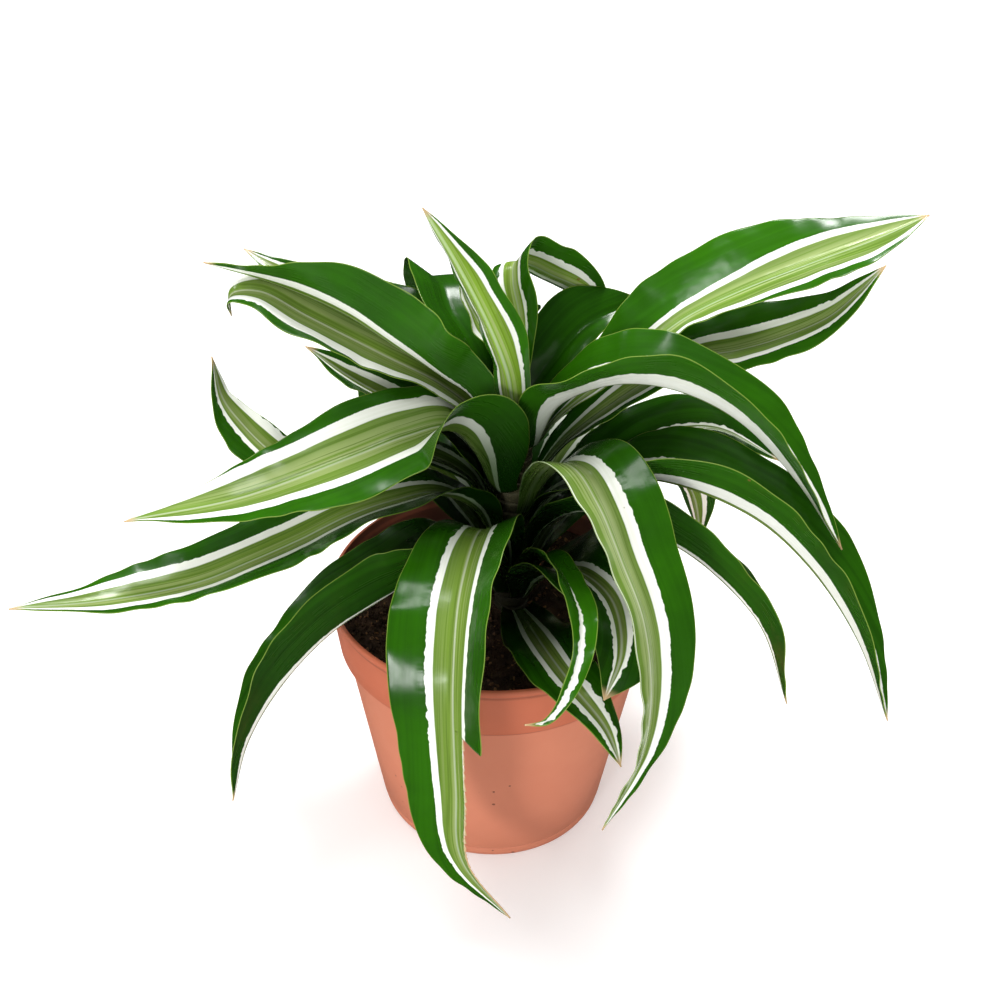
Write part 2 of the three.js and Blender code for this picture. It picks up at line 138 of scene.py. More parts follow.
class DracaenaColours(bpy.types.PropertyGroup):
    """Colours of every finish"""
    pot: colour("Pot", "Moulded plastic of the pot's body", (0.620, 0.214, 0.122))
    collar: colour("Collar", "Deeper colour of the band below the rim", (0.540, 0.138, 0.066))
    scuff: colour("Scuff", "Paler dust near the pot's foot", (0.62, 0.25, 0.16))
    grime: colour("Grime", "Dark dirt round the pot's rim", (0.22, 0.07, 0.035))
    pot_speck: colour("Pot specks", "Specks of mix stuck to the pot", (0.09, 0.03, 0.015))
    soil: colour("Potting mix", "Dark peat of the mix", (0.024, 0.013, 0.007))
    fibre: colour("Fibre", "Pale bark and fibre in the mix", (0.210, 0.110, 0.050))
    cane: colour("Cane", "Young bark of the cane", (0.090, 0.085, 0.030))
    bark_fleck: colour("Bark flecks", "Pale flecks in the bark", (0.28, 0.22, 0.12))
    green: colour("Deep green", "Outer bands of a grown blade", (0.024, 0.129, 0.0010))
    dark_green: colour("Dark green", "Shaded outer bands, low in the crown", (0.005, 0.028, 0.0012))
    centre: colour("Centre green", "Middle band of a blade", (0.190, 0.340, 0.045))
    centre_pale: colour("Pale centre", "Pale streaks in the middle band", (0.400, 0.500, 0.190))
    white: colour("White", "White bands of a blade", (0.890, 0.900, 0.840))
    rim: colour("Margin", "Thin translucent line along a margin", (0.220, 0.330, 0.050))
    young: colour("Young green", "Fresh green of the heart leaves", (0.230, 0.410, 0.030))
    under: colour("Underside", "Dull green that veils the underside", (0.16, 0.24, 0.12))
    dry: colour("Dry", "Dried tips and torn edges", (0.560, 0.380, 0.200))
    flaw: colour("Flaws", "Small brown specks on a blade", (0.20, 0.10, 0.03))
    crown_shade: colour("Crown shade", "Multiplies the colours deep in the crown", (0.04, 0.09, 0.02))
    floor: colour("Floor", "Pale studio floor", (0.83, 0.83, 0.83))


class DracaenaStageSizes(bpy.types.PropertyGroup):
    """Camera, lights and floor"""
    camera_place: FloatVectorProperty(name="Camera place", description="Where the camera stands",
                                      default=(0.0013, -0.4031, 0.4119), subtype="TRANSLATION",
                                      unit="LENGTH", precision=4)
    camera_dip: angle("Camera dip", "How far the camera looks down", 34.58)
    camera_roll: angle("Camera roll", "Turn of the picture", 1.04)
    lens: number("Lens", "Focal length on a 36 mm sensor, in millimetres", 50.4, unit="CAMERA")
    floor_size: length("Floor size", "Side of the square floor", 6.0)
    floor_glow: number("Floor glow", "How much the floor shines of itself, to stay pale", 0.24)
    key_power: power("Key light", "Power of the large softbox", 12.5)
    fill_power: power("Fill light", "Power of the side softbox", 6.0)
    glint_power: power("Glint lights", "Power of each small light that shines on bends", 1.7)
    even_strength: number("Even light", "Strength of the wide light from above", 0.85)
    even_spread: angle("Even spread", "How wide the light from above is", 70)
    sky: number("Room light", "Strength of the even light all round", 0.72)
    sky_mirrored: number("Mirrored room", "Share of the room light that gloss reflects", 0.03)


# ---- Leaf forms ----

# Every blade clasps the cane in an arc at its root, then opens out. Base is [heading, height] on the
# cane and path lists [heading in degrees, reach from the cane's axis, height]: heading 0 is right, 90
# back, 180 left and 270 front. Base_reach is the reach at the base, where it isn't the cane's side.
# Roll turns the blade about its length, fold is the slope beside the keel and edge the slope at the
# margin, each for root, middle and tip, or for middle and tip alone. Root is the share of the full
# width at the cane, and peak is where along its length the blade is widest. Sides are the shares of
# the half width that the two halves get: (clockwise, other). Flare is (half, share): the share that
# one half, -1 clockwise or 1 other, gets towards its tip. A hood is a half that stands up round the
# cane near its root. Torn is a half that is torn off past start. Bands gives the edges of the centre
# and of the white as shares of the half width, at the middle and the tip, and lean moves the bands
# sideways by millimetres. Tone runs from dark, 0, to bright, 1.
# Tone paints shade: blades low or at the back of the crown get a low tone, and so a darker green and centre
FOLDED = dict(roll=(0, 0, 0), fold=(15, 50, 40), edge=(15, 48, 30), root=0.28, peak=0.4,
              bands=((0.22, 0.37), (0.28, 0.5)))
OPEN = dict(roll=(0, 0, 0), fold=(25, 18), edge=(12, 5), root=0.28, peak=0.42,
            bands=((0.31, 0.46), (0.36, 0.62)))

HEART = {
    "heart_spear": dict(width=12, roll=(0, 0, 0), fold=(25, 35), edge=(20, 20), root=0.4, peak=0.5,
        bands=((0.6, 0.98), (0.4, 0.95)), tone=1.0, base_reach=2, base=(145, 181.8),
        path=((146, 8, 190), (154, 15, 201), (160, 19, 211), (162, 20, 219))),
    "heart_tall": dict(width=21, roll=(0, -8, 0), fold=(45, 50), edge=(50, 50), root=0.6, peak=0.35,
        bands=((0.5, 0.66), (0.42, 0.66)), tone=0.9, base=(262, 178),
        path=((250, 9.5, 191), (222, 12, 206), (193, 20, 226), (184, 30, 243))),
    "heart_turned": dict(OPEN, width=27, sides=(1, 0.7), roll=(0, -25, -25), root=0.15, peak=0.6,
        tone=0.75, base=(72, 178),
        path=((86, 14, 198), (94, 21, 208), (92, 27, 212), (84, 31, 210), (72, 37, 204), (60, 45, 197),
              (53, 54, 187))),
}
UPPER = {
    "back_upper": dict(OPEN, width=23, root=0.24, peak=0.6, tone=0.4, base=(106, 172),
        path=((103, 15, 188), (97, 24, 192), (94, 37, 190), (99, 56, 182), (100, 76, 164))),
    "back_left_upper": dict(OPEN, width=26, root=0.12, bands=((-0.2, -0.1), (-0.2, -0.1)), tone=0.4,
        base=(143, 166),
        path=((143, 15, 182), (140, 22, 190), (136, 32, 196), (128, 43, 200), (124, 54, 198),
              (121, 66, 188), (119, 76, 171))),
    "back_right_short": dict(FOLDED, width=30, sides=(0.5, 1), fold=(40, 20), edge=(15, 5), root=0.15,
        peak=0.6, bands=((-0.2, -0.1), (-0.2, -0.1)), tone=0.4, base=(72, 155),
        path=((70, 15, 168), (60, 23, 176), (50, 37, 188), (41, 58, 193.5))),
    "upper_right": dict(OPEN, width=46, sides=(0.56, 0.92), flare=(-1, 1.1), roll=(0, 8, 8), root=0.1,
        peak=0.55, bands=((0.27, 0.36), (0.58, 0.78)), lean=-4, tone=0.88, base=(18, 156),
        path=((17, 15, 166), (17, 30, 178), (17, 44, 189), (17, 58, 199), (16, 75, 207),
              (15, 100, 215.5), (14, 122, 222.5), (14, 140, 228.5))),
    "back_left_far": dict(OPEN, width=28, root=0.2, tone=0.4, base=(115, 142),
        path=((117, 15, 157), (132, 46, 179), (146, 78, 190), (151, 98, 199), (152, 109, 204))),
    "upper_left": dict(FOLDED, width=44, sides=(0.4, 1),
        hood=dict(side=1, share=0.7, slope=75, until=0.2), roll=(0, 38, 15),
        bands=((0.08, 0.17), (0.2, 0.45)), tone=0.85, base=(168, 157),
        path=((166, 15, 174), (165, 24, 179), (166, 40, 188), (167, 59, 199), (168, 80, 207),
              (170, 105, 214))),
    "right_arch": dict(FOLDED, width=42, hood=dict(side=-1, share=0.62, slope=55, until=0.12),
        roll=(0, -11, 0), root=0.3, peak=0.25, bands=((0.1, 0.45), (0.1, 0.5)), tone=0.8,
        base=(343, 159),
        path=((344, 15, 176), (345, 31, 186), (345, 50, 188), (344, 73, 181), (341, 95, 165),
              (339, 113, 145))),
    "right_raised": dict(OPEN, width=42, sides=(0.75, 0.78), flare=(-1, 1.15), roll=(0, 8, 8),
        fold=(28, 20), root=0.2, peak=0.52, bands=((0.32, 0.43), (0.36, 0.55)), lean=-3, tone=0.7,
        base=(13, 143),
        path=((14, 15, 154), (14, 30, 167), (13, 48, 179.5), (12, 63, 186), (11, 76, 188.5),
              (10, 89, 192.5), (8, 104, 201), (7, 112, 210), (6, 119, 220))),
    "left_curled": dict(OPEN, width=40, sides=(0.75, 0.65), flare=(1, 1), roll=(0, -5, 0), peak=0.62,
        bands=((0.42, 0.62), (0.45, 0.75)), tone=0.6, base=(162, 150),
        path=((163, 15, 167), (164, 26, 175.5), (168, 45, 185), (170, 71, 198), (171, 86, 206),
              (172, 95, 205), (172, 96, 197))),
}
MIDDLE = {
    "left_tucked": dict(FOLDED, width=34, fold=(15, 32, 30), edge=(15, 25, 20), tone=0.3,
        base=(154, 136),
        path=((154, 15, 152), (155, 27, 159), (158, 48, 164), (159, 63, 170), (160, 78, 179))),
    "left_broad": dict(OPEN, width=48, sides=(0.8, 1.05),
        hood=dict(side=1, share=1.12, slope=74, until=0.2), roll=(0, -22, -2), fold=(28, 15), root=0.3,
        peak=0.34, bands=((0.4, 0.58), (0.5, 0.85)), tone=0.75, base=(202, 141),
        path=((201, 15, 159), (199, 23, 168), (199, 38, 167), (200, 57, 163), (200, 94, 155),
              (200, 131, 154))),
    "back_left_middle": dict(FOLDED, width=38, roll=(0, -10, 0), root=0.2, tone=0.4, base=(113, 124),
        path=((111, 15, 139), (114, 30, 150), (117, 44, 156), (120, 73, 152), (121, 102, 130),
              (122, 116, 100))),
    "right_behind": dict(FOLDED, width=32, fold=(40, 20), edge=(15, 10), root=0.2,
        bands=((0.08, 0.14), (0.1, 0.2)), tone=0.2, base=(16, 122),
        path=((16, 15, 133), (14, 26, 138), (12, 36, 145), (11, 48, 155), (8, 69, 159), (6, 94, 146))),
    "right_long": dict(FOLDED, width=44, roll=(0, -18, -5), bands=((0.16, 0.42), (0.16, 0.5)),
        tone=0.55, base=(338, 129),
        path=((338, 15, 142), (337, 31, 150), (336, 52, 158), (336, 84, 153), (336, 105, 139),
              (335, 124, 118), (335, 139, 88))),
    "front_right_arch": dict(FOLDED, width=48, sides=(0.68, 0.66), flare=(1, 0.45), roll=(0, -18, -18),
        fold=(15, 36, 30), edge=(15, 30, 15), peak=0.34, bands=((0.37, 0.52), (0.36, 0.52)), lean=-7,
        tone=0.75, base=(312, 133),
        path=((311, 15, 150), (308, 28, 164), (305, 42, 169), (303, 55, 164), (302, 67, 153),
              (302, 80, 138), (301, 88, 118), (299, 90, 92), (293, 82, 51))),
    "left_upturned": dict(OPEN, width=38, sides=(0.6, 0.6), flare=(1, 1.3), roll=(0, -10, -15),
        peak=0.5, tone=0.5, base=(177, 127),
        path=((176, 15, 142), (176, 28, 150), (175, 45, 150), (175, 60, 145), (175, 71, 140),
              (175, 80, 143), (175, 87, 149), (174, 95, 157), (174, 101, 167), (174, 103, 183))),
    "right_front_low": dict(FOLDED, width=34, sides=(1, 0.75), roll=(0, -26, -8), root=0.22,
        bands=((0.08, 0.14), (0.12, 0.22)), tone=0.45, base=(322, 116),
        path=((320, 15, 131), (323, 28, 142), (327, 45, 144), (329, 60, 140), (331, 75, 132),
              (332, 93, 116), (333, 106, 85))),
    "left_long": dict(OPEN, width=38, hood=dict(side=1, share=0.6, slope=60, until=0.12), root=0.3,
        peak=0.5, bands=((0.34, 0.48), (0.5, 0.8)), tone=0.6, base=(207, 119),
        path=((204, 15, 135), (203, 28, 144), (204, 45, 145), (204, 60, 143), (204, 77, 138),
              (205, 95, 135), (205, 112, 132), (206, 143, 136), (206, 170, 142))),
    "back_right_middle": dict(OPEN, width=34, tone=0.5, base=(60, 113),
        path=((60, 15, 125), (60, 42, 139), (60, 76, 124), (60, 104, 98), (60, 116, 68))),
    "front_hanging": dict(FOLDED, width=43, torn=dict(side=1, start=0.55, share=0.36), roll=(0, 28, 15),
        fold=(15, 32, 20), edge=(15, 28, 10), root=0.2, bands=((0.32, 0.44), (0.32, 0.46)), tone=0.55,
        base=(256, 108),
        path=((254, 15, 124), (250, 32, 142), (254, 60, 138), (257, 80, 120), (259, 89, 82),
              (260, 88, 48), (271, 84, 15))),
    "back_middle": dict(FOLDED, width=38, roll=(0, 10, 0), tone=0.45, base=(98, 104),
        path=((100, 15, 118), (101, 40, 133), (100, 74, 129), (98, 104, 106), (98, 118, 74))),
}
LOWER = {
    "back_right_low": dict(OPEN, width=36, tone=0.4, base=(34, 100),
        path=((36, 15, 114), (40, 45, 126), (42, 78, 118), (43, 101, 92), (43, 110, 64))),
    "front_left_folded": dict(FOLDED, width=47, sides=(1.1, 1), roll=(0, 32, 25), root=0.24, peak=0.3,
        bands=((0.05, 0.09), (0.12, 0.3)), tone=0.25, base=(222, 98),
        path=((218, 15, 113), (215, 28, 121), (214, 50, 114), (215, 74, 108), (216, 94, 96),
              (217, 109, 80), (218, 118, 59))),
    "back_left_low": dict(OPEN, width=38, tone=0.4, base=(142, 100),
        path=((140, 16, 116), (140, 45, 130), (141, 80, 118), (142, 105, 88), (142, 116, 58))),
    "front_hooked": dict(width=13, roll=(0, -20, 0), fold=(30, 30), edge=(30, 30), root=0.3, peak=0.4,
        bands=((-0.1, -0.05), (0.0, 0.5)), tone=0.9, base=(285, 102),
        path=((286, 15, 115), (288, 34, 133), (288, 57, 139), (286, 76, 136), (282.5, 85, 124),
              (277, 90, 114), (272.5, 93, 115.5))),
    "front_right_dark": dict(FOLDED, width=44, sides=(1, 1.25), roll=(0, -10, -10), fold=(28, 25),
        edge=(20, 10), bands=((0.15, 0.25), (0.15, 0.3)), tone=0.25, base=(314, 96),
        path=((312, 15, 108), (309, 36, 124), (306, 56, 125), (300, 70, 117), (293, 76, 105))),
    "back_low": dict(OPEN, width=38, tone=0.35, base=(74, 90),
        path=((75, 15, 102), (75, 40, 114), (75, 72, 106), (75, 97, 78), (75, 108, 44))),
    "front_small": dict(width=26, roll=(0, 0, 0), fold=(15, 20), edge=(5, 5), root=0.5, peak=0.4,
        bands=((0.25, 0.4), (0.3, 0.6)), tone=0.3, base=(292, 90),
        path=((286, 20, 95), (286, 44, 101), (288, 67, 104), (292, 81, 98), (294, 88, 86))),
}
WHORLS = {"heart": HEART, "upper": UPPER, "middle": MIDDLE, "lower": LOWER}

# Millimetres: the gap between the cane and a blade's root, the keel at the root of the plain solid,
# and the least half width, at a tip
ROOT_GAP = 0.3
KEEL_AT_ROOT = 1.5
TIP_HALF_WIDTH = 0.25
# Shares of a blade's half width over which its keel rounds off
KEEL_ROUNDING = 0.12
# Shares of a blade's length: where its clasp has opened, over which its hood sinks, and where a
# flared half starts to widen and over which it does
CLASP_END = 0.2
HOOD_FADE = 0.14
FLARE_START = 0.5
FLARE_FADE = 0.3
# Share of its full reach that a hood has at the root
HOOD_ROOT = 0.4
# Long waves in a margin, steps between two stops of a path, and slices from a keel to a margin
LONG_WAVES = 3
PATH_STEPS = 48
SLICES = 12
# Share of the length over which the cut of a torn half is made
CUT_SHARE = 0.003
# What every point of a blade's mesh stores for its finish
BLADE_FACTS = ("across_mm", "along_mm", "to_margin", "centre_edge", "white_edge", "crinkle", "dryness",
               "torn", "tone", "leaf_seed", "upper_face")

FLOAT, INT, VECTOR = "NodeSocketFloat", "NodeSocketInt", "NodeSocketVector"
GEOMETRY, MATERIAL = "NodeSocketGeometry", "NodeSocketMaterial"


# ---- Node helpers ----

class Wire:
    """A value inside a node tree. A sum on it adds a Math node to the same tree."""

    def __init__(self, socket):
        self.socket = socket
        self.tree = socket.id_data

    def __add__(self, other):
        return calc("ADD", self, other)

    def __sub__(self, other):
        return calc("SUBTRACT", self, other)

    def __rsub__(self, other):
        return calc("SUBTRACT", other, self)

    def __mul__(self, other):
        return calc("MULTIPLY", self, other)

    def __truediv__(self, other):
        return calc("DIVIDE", self, other)

    def __rtruediv__(self, other):
        return calc("DIVIDE", other, self)

    def __abs__(self):
        return calc("ABSOLUTE", self)


class Outputs:
    """The outputs of a node, by name or number"""

    def __init__(self, node):
        self.node = node

    def __getitem__(self, key):
        return Wire(self.node.outputs[key])


def put(value, target):
    """Links a wire to a socket, or fills the socket with a plain value"""
    if isinstance(value, Wire):
        target.id_data.links.new(value.socket, target)
    elif target.type == "RGBA" and len(value) == 3:
        target.default_value = (*value, 1.0)
    else:
        target.default_value = value


def add(kind, inputs, tree=None, **settings):
    """A new node, in the tree that its inputs come from unless one is given"""
    if tree is None:
        tree = next(value.tree for value in inputs.values() if isinstance(value, Wire))
    made = tree.nodes.new(kind)
    for key, value in settings.items():
        setattr(made, key, value)
    for key, value in inputs.items():
        put(value, made.inputs[key])
    return Outputs(made)


def calc(operation, first, second=0.0, third=0.0, clamp=False):
    """The result of one Math node"""
    return add("ShaderNodeMath", {0: first, 1: second, 2: third}, operation=operation,
               use_clamp=clamp)[0]


def vector_calc(operation, inputs, output="Vector"):
    """The result of one Vector Math node"""
    return add("ShaderNodeVectorMath", inputs, operation=operation)[output]


def flat(vector):
    """A vector without its height"""
    return vector_calc("MULTIPLY", {0: vector, 1: (1.0, 1.0, 0.0)})


def length_of(vector):
    """The length of a vector"""
    return vector_calc("LENGTH", {0: vector}, "Value")


def height_of(vector):
    """The upright part of a vector"""
    return add("ShaderNodeSeparateXYZ", {"Vector": vector})["Z"]


def vector_of(x=0.0, y=0.0, z=0.0):
    """A vector from its parts"""
    return add("ShaderNodeCombineXYZ", {"X": x, "Y": y, "Z": z})[0]


def ramp(value, low, high, out_low=0.0, out_high=1.0):
    """A value carried smoothly from one range to another"""
    return add("ShaderNodeMapRange",
               {"Value": value, "From Min": low, "From Max": high, "To Min": out_low, "To Max": out_high},
               interpolation_type="SMOOTHSTEP")["Result"]


def blend(factor, first, second, mode="MIX"):
    """The colour of one Mix node"""
    return add("ShaderNodeMix", {0: factor, 6: first, 7: second}, data_type="RGBA", blend_type=mode)[2]


def tint(surface, mask, strength, hue):
    """A surface tinted where the mask is, at most as strongly as given"""
    return blend(mask * strength, surface, hue)


def times(hue, *factors):
    """A colour with its channels multiplied, all by one factor or each by its own"""
    return tuple(channel * factor for channel, factor in zip(hue, factors * (3 // len(factors))))


def noise(vector, scale, detail=2.0, roughness=0.5):
    """A soft noise between 0 and 1"""
    return add("ShaderNodeTexNoise", {"Vector": vector, "Scale": scale, "Detail": detail,
                                      "Roughness": roughness})["Fac"]


def attribute(tree, name):
    """A number stored on the points of a piece"""
    return add("ShaderNodeAttribute", {}, tree, attribute_name=name)["Fac"]


def new_group(name, kind, inputs, outputs):
    """A node group with named sockets: what it is given, and the sockets that it fills"""
    tree = bpy.data.node_groups.new(name, kind)
    for direction, sockets in (("INPUT", inputs), ("OUTPUT", outputs)):
        for label, socket, *default in sockets:
            made = tree.interface.new_socket(label, in_out=direction, socket_type=socket)
            if default:
                made.default_value = default[0]
    given = Outputs(tree.nodes.new("NodeGroupInput"))
    return given, tree.nodes.new("NodeGroupOutput").inputs


def use_group(name, inputs):
    """The outputs of a node group, placed in the tree that its inputs come from"""
    return add("ShaderNodeGroup", inputs, node_tree=bpy.data.node_groups[name])


# ---- Shared effects ----

def make_band_group():
    """Where the centre, the white and the margin line of a striped blade lie, in millimetres"""
    given, out = new_group(
        "striped bands", "ShaderNodeTree",
        [("Across", FLOAT), ("Along", FLOAT), ("Seed", FLOAT), ("Centre Edge", FLOAT),
         ("White Edge", FLOAT), ("To Margin", FLOAT), ("Crinkle", FLOAT)],
        [("Centre", FLOAT), ("Green", FLOAT), ("Margin", FLOAT), ("Pucker", FLOAT)])
    side_step = 3.7
    lane = calc("MULTIPLY_ADD", calc("SIGN", given["Across"]), side_step, given["Seed"])

    def wander(per_mm, layer, detail):
        return noise(vector_of(given["Along"] * per_mm, lane, layer), 1.0, detail)

    # How far the edges wander, in millimetres: a slow drift, teeth where the blade puckers, a nibble
    slow, quick, fine = wander(0.07, 0.0, 2.0), wander(0.42, 5.0, 1.0), wander(1.3, 9.0, 1.0)
    drift = (slow - 0.5) * 1.1
    teeth = (quick - 0.5) * given["Crinkle"]
    nibble = (fine - 0.5) * 0.25
    far = abs(given["Across"])
    inner = far + drift * 0.6
    outer = far + drift + calc("MULTIPLY_ADD", teeth, 2.3, nibble)
    centre_blur, white_blur = 0.18, 0.12
    put(ramp(given["Centre Edge"] - inner, -centre_blur, centre_blur), out["Centre"])
    put(ramp(outer - given["White Edge"], -white_blur, white_blur), out["Green"])
    put(ramp(given["To Margin"], 0.10, 0.32, 1.0, 0.0), out["Margin"])
    beside_edge = ramp(abs(far - given["White Edge"]), 0.6, 3.6, 1.0, 0.0)
    put(quick * given["Crinkle"] * beside_edge, out["Pucker"])


def make_streak_group():
    """Fine lines that run along a blade: noises drawn out lengthwise"""
    given, out = new_group(
        "lengthwise streaks", "ShaderNodeTree",
        [("Across", FLOAT), ("Along", FLOAT), ("Seed", FLOAT), ("Per Millimetre", FLOAT, 1.0)],
        [("Streak", FLOAT), ("Vein", FLOAT)])
    across = given["Across"] * given["Per Millimetre"]
    stretched = given["Along"] * 0.011
    wide = noise(vector_of(across, stretched, given["Seed"]), 0.42, 1.0)
    narrow = noise(vector_of(across, stretched, given["Seed"] + 4.0), 1.6, 1.0)
    both = calc("MULTIPLY_ADD", narrow, 0.3, wide * 0.7)
    put(ramp(both, 0.3, 0.7), out["Streak"])
    put(ramp(narrow, 0.3, 0.7), out["Vein"])


def make_speck_group():
    """Scattered specks on a surface, each with its own size"""
    given, out = new_group(
        "scattered specks", "ShaderNodeTree",
        [("Place", VECTOR), ("Spacing", FLOAT, 0.004), ("Size", FLOAT, 0.1), ("Share", FLOAT, 0.2)],
        [("Specks", FLOAT)])
    cells = add("ShaderNodeTexVoronoi", {"Vector": given["Place"], "Scale": 1.0 / given["Spacing"]})
    chance = add("ShaderNodeSeparateColor", {"Color": cells["Color"]})
    smallest, soft_edge = 0.35, 0.03
    reach = given["Size"] * (chance["Green"] + smallest)
    dot = ramp(reach - cells["Distance"], 0.0, soft_edge)
    put(dot * calc("LESS_THAN", chance["Red"], given["Share"]), out["Specks"])


def make_mottle_group():
    """Slow patches and a fine grain, for moulded and natural surfaces"""
    given, out = new_group(
        "mottle and grain", "ShaderNodeTree",
        [("Place", VECTOR), ("Patch Scale", FLOAT, 30.0), ("Grain Scale", FLOAT, 900.0)],
        [("Patches", FLOAT), ("Grain", FLOAT)])
    put(ramp(noise(given["Place"], given["Patch Scale"], 4.0, 0.55), 0.3, 0.7), out["Patches"])
    put(noise(given["Place"], given["Grain Scale"], 3.0, 0.6), out["Grain"])


def make_crown_group(cane_offset):
    """How deep a spot lies among the leaf roots, where little light reaches"""
    given, out = new_group("shade of the crown", "ShaderNodeTree", [("Place", VECTOR)],
                           [("Shade", FLOAT)])
    centred = vector_calc("ADD", {0: given["Place"], 1: (-cane_offset, 0.0, 0.0)})
    near = ramp(length_of(flat(centred)), 0.014, 0.072, 1.0, 0.0)
    low = ramp(height_of(given["Place"]), 0.150, 0.200, 1.0, 0.0)
    deepest = 0.92
    put(near * low * deepest, out["Shade"])


# ---- Materials ----

def new_material(name, patch_scale, grain_scale):
    """A material's shader, the places on its piece, and its patches and grain"""
    made = bpy.data.materials.new(name)
    made.use_nodes = True
    shader = next(node for node in made.node_tree.nodes if node.type == "BSDF_PRINCIPLED")
    place = add("ShaderNodeTexCoord", {}, made.node_tree)["Object"]
    mottle = use_group("mottle and grain", {"Place": place, "Patch Scale": patch_scale,
                                            "Grain Scale": grain_scale})
    return shader, place, mottle


def dress(shader, inputs, relief=None, depth=0.0, strength=1.0):
    """Fills the shader's inputs, and bends its normal by a relief of the given depth"""
    for key, value in inputs.items():
        put(value, shader.inputs[key])
    if relief is not None:
        normal = add("ShaderNodeBump", {"Height": relief, "Distance": depth, "Strength": strength})[0]
        put(normal, shader.inputs["Normal"])


def specks_on(surface, place, strength, hue, spacing, size, share):
    """A surface with specks, and where they are"""
    specks = use_group("scattered specks", {"Place": place, "Spacing": spacing, "Size": size,
                                            "Share": share})["Specks"]
    return tint(surface, specks, strength, hue), specks


def make_blade_material(name, colours, young=False):
    """Striped leaf: green outer bands, white bands, streaked centre, thin margin line"""
    shader, place, mottle = new_material(name, patch_scale=34.0, grain_scale=1400.0)
    fact = {key: attribute(place.tree, key) for key in BLADE_FACTS}
    lie = {"Across": fact["across_mm"], "Along": fact["along_mm"], "Seed": fact["leaf_seed"]}
    lines = use_group("lengthwise streaks", {**lie, "Per Millimetre": 1.1})
    bands = use_group("striped bands", {
        **lie, "Centre Edge": fact["centre_edge"], "White Edge": fact["white_edge"],
        "To Margin": fact["to_margin"], "Crinkle": fact["crinkle"]})
    patches, vein = mottle["Patches"], lines["Vein"]

    # Painted shade: the lower a blade's tone, the more its outer bands take the dark green
    green = blend(fact["tone"], colours.dark_green, colours.green)
    green = tint(green, lines["Streak"], 0.25, times(colours.green, 1.7))
    green = tint(green, patches, 0.38, times(colours.dark_green, 0.8))

    middle = colours.young if young else colours.centre
    centre = blend(ramp(lines["Streak"], 0.15, 0.85), middle, colours.centre_pale)
    # Painted shade: the centre of a blade of low tone is darkened towards olive
    shaded = calc("MULTIPLY_ADD", 1.0 - fact["tone"], 0.9, 0.1, clamp=True)
    centre = blend(shaded, centre, times(middle, 0.56, 0.45, 0.40))
    towards_white = abs(fact["across_mm"]) / calc("MAXIMUM", fact["centre_edge"], 0.1)
    centre = tint(centre, ramp(towards_white, 0.35, 0.95), 0.75, times(middle, 0.62))
    centre = tint(centre, ramp(vein, 0.40, 0.05), 0.6, times(middle, 0.45))
    keel = ramp(abs(fact["across_mm"]), 0.1, 0.7, 0.25, 0.0)
    centre = blend(keel, centre, colours.white)

    surface = blend(bands["Centre"], blend(vein * 0.12, colours.white, colours.centre_pale), centre)
    surface = blend(bands["Green"], surface, green)
    surface = tint(surface, bands["Margin"], 0.8, colours.rim)
    surface = blend(calc("MAXIMUM", fact["dryness"], fact["torn"]), surface, colours.dry)
    underside = 1.0 - fact["upper_face"]
    surface = tint(surface, underside, 0.02, colours.under)
    surface, _ = specks_on(surface, place, 0.75, colours.flaw, spacing=0.013, size=0.05, share=0.1)
    crown = use_group("shade of the crown", {"Place": place})["Shade"]
    surface = blend(crown, surface, colours.crown_shade, "MULTIPLY")

    rough = calc("MULTIPLY_ADD", vein, 0.02, 0.18)
    for mask, share in ((patches, 0.06), (underside, 0.05), (fact["torn"], 0.4)):
        rough = calc("MULTIPLY_ADD", mask, share, rough)
    # Each swell and its height, in shares of the relief's depth
    relief = calc("MULTIPLY_ADD", bands["Pucker"], 6.0, vein * 0.08)
    for swell, height in ((noise(place, 150.0, 1.0), 6.0), (noise(place, 55.0, 1.0), 16.0),
                          (mottle["Grain"], 0.15)):
        relief = calc("MULTIPLY_ADD", swell, height, relief)
    dress(shader, {"Base Color": surface, "Roughness": rough, "Specular IOR Level": 0.25},
          relief, depth=0.00007, strength=0.5)


def make_pot_material(colours, size):
    """Moulded nursery-pot plastic with dust, crumbs of mix, and painted shade in its creases and inside"""
    shader, place, mottle = new_material("nursery_pot_plastic", patch_scale=26.0, grain_scale=1500.0)
    ledge, lip = size.height - size.collar_height, size.height - size.lip_height
    height, base, patches = height_of(place), colours.pot, mottle["Patches"]
    ledge_blur = 0.0004
    surface = blend(ramp(height, ledge - ledge_blur, ledge + ledge_blur), base, colours.collar)
    surface = tint(surface, patches, 0.30, times(base, 0.90, 0.74, 0.66))
    dusty_foot = ramp(height, 0.060, 0.0)
    surface = tint(surface, dusty_foot, 0.15, colours.scuff)
    # The inner wall is darkened: partly damp dirt, partly painted shade from the leaves over the pot
    normal = Outputs(place.socket.node)["Normal"]
    outward = vector_calc("DOT_PRODUCT", {0: flat(place), 1: normal}, "Value")
    inside = ramp(outward, -0.02, -0.04, 0.0, 0.92)
    surface = blend(inside, surface, times(base, 0.13, 0.10, 0.09))
    # Painted shade: dark lines under the collar's ledge and under the lip bead
    for crease in (ledge - 0.0002, lip - 0.0003):
        near = ramp(abs(height - crease), 0.0004, 0.0013, 0.6, 0.0)
        surface = blend(near, surface, times(base, 0.45, 0.36, 0.33))
    dirty_rim = ramp(height, 0.090, 0.0975)
    surface = tint(surface, dirty_rim * patches, 0.20, colours.grime)
    surface, specks = specks_on(surface, place, 0.75, colours.pot_speck, spacing=0.006, size=0.085,
                                share=0.55)
    dress(shader, {"Base Color": surface, "Roughness": calc("MULTIPLY_ADD", patches, 0.12, 0.42),
                   "Specular IOR Level": 0.4},
          calc("MULTIPLY_ADD", specks, 2.0, mottle["Grain"]), depth=0.00005, strength=0.6)


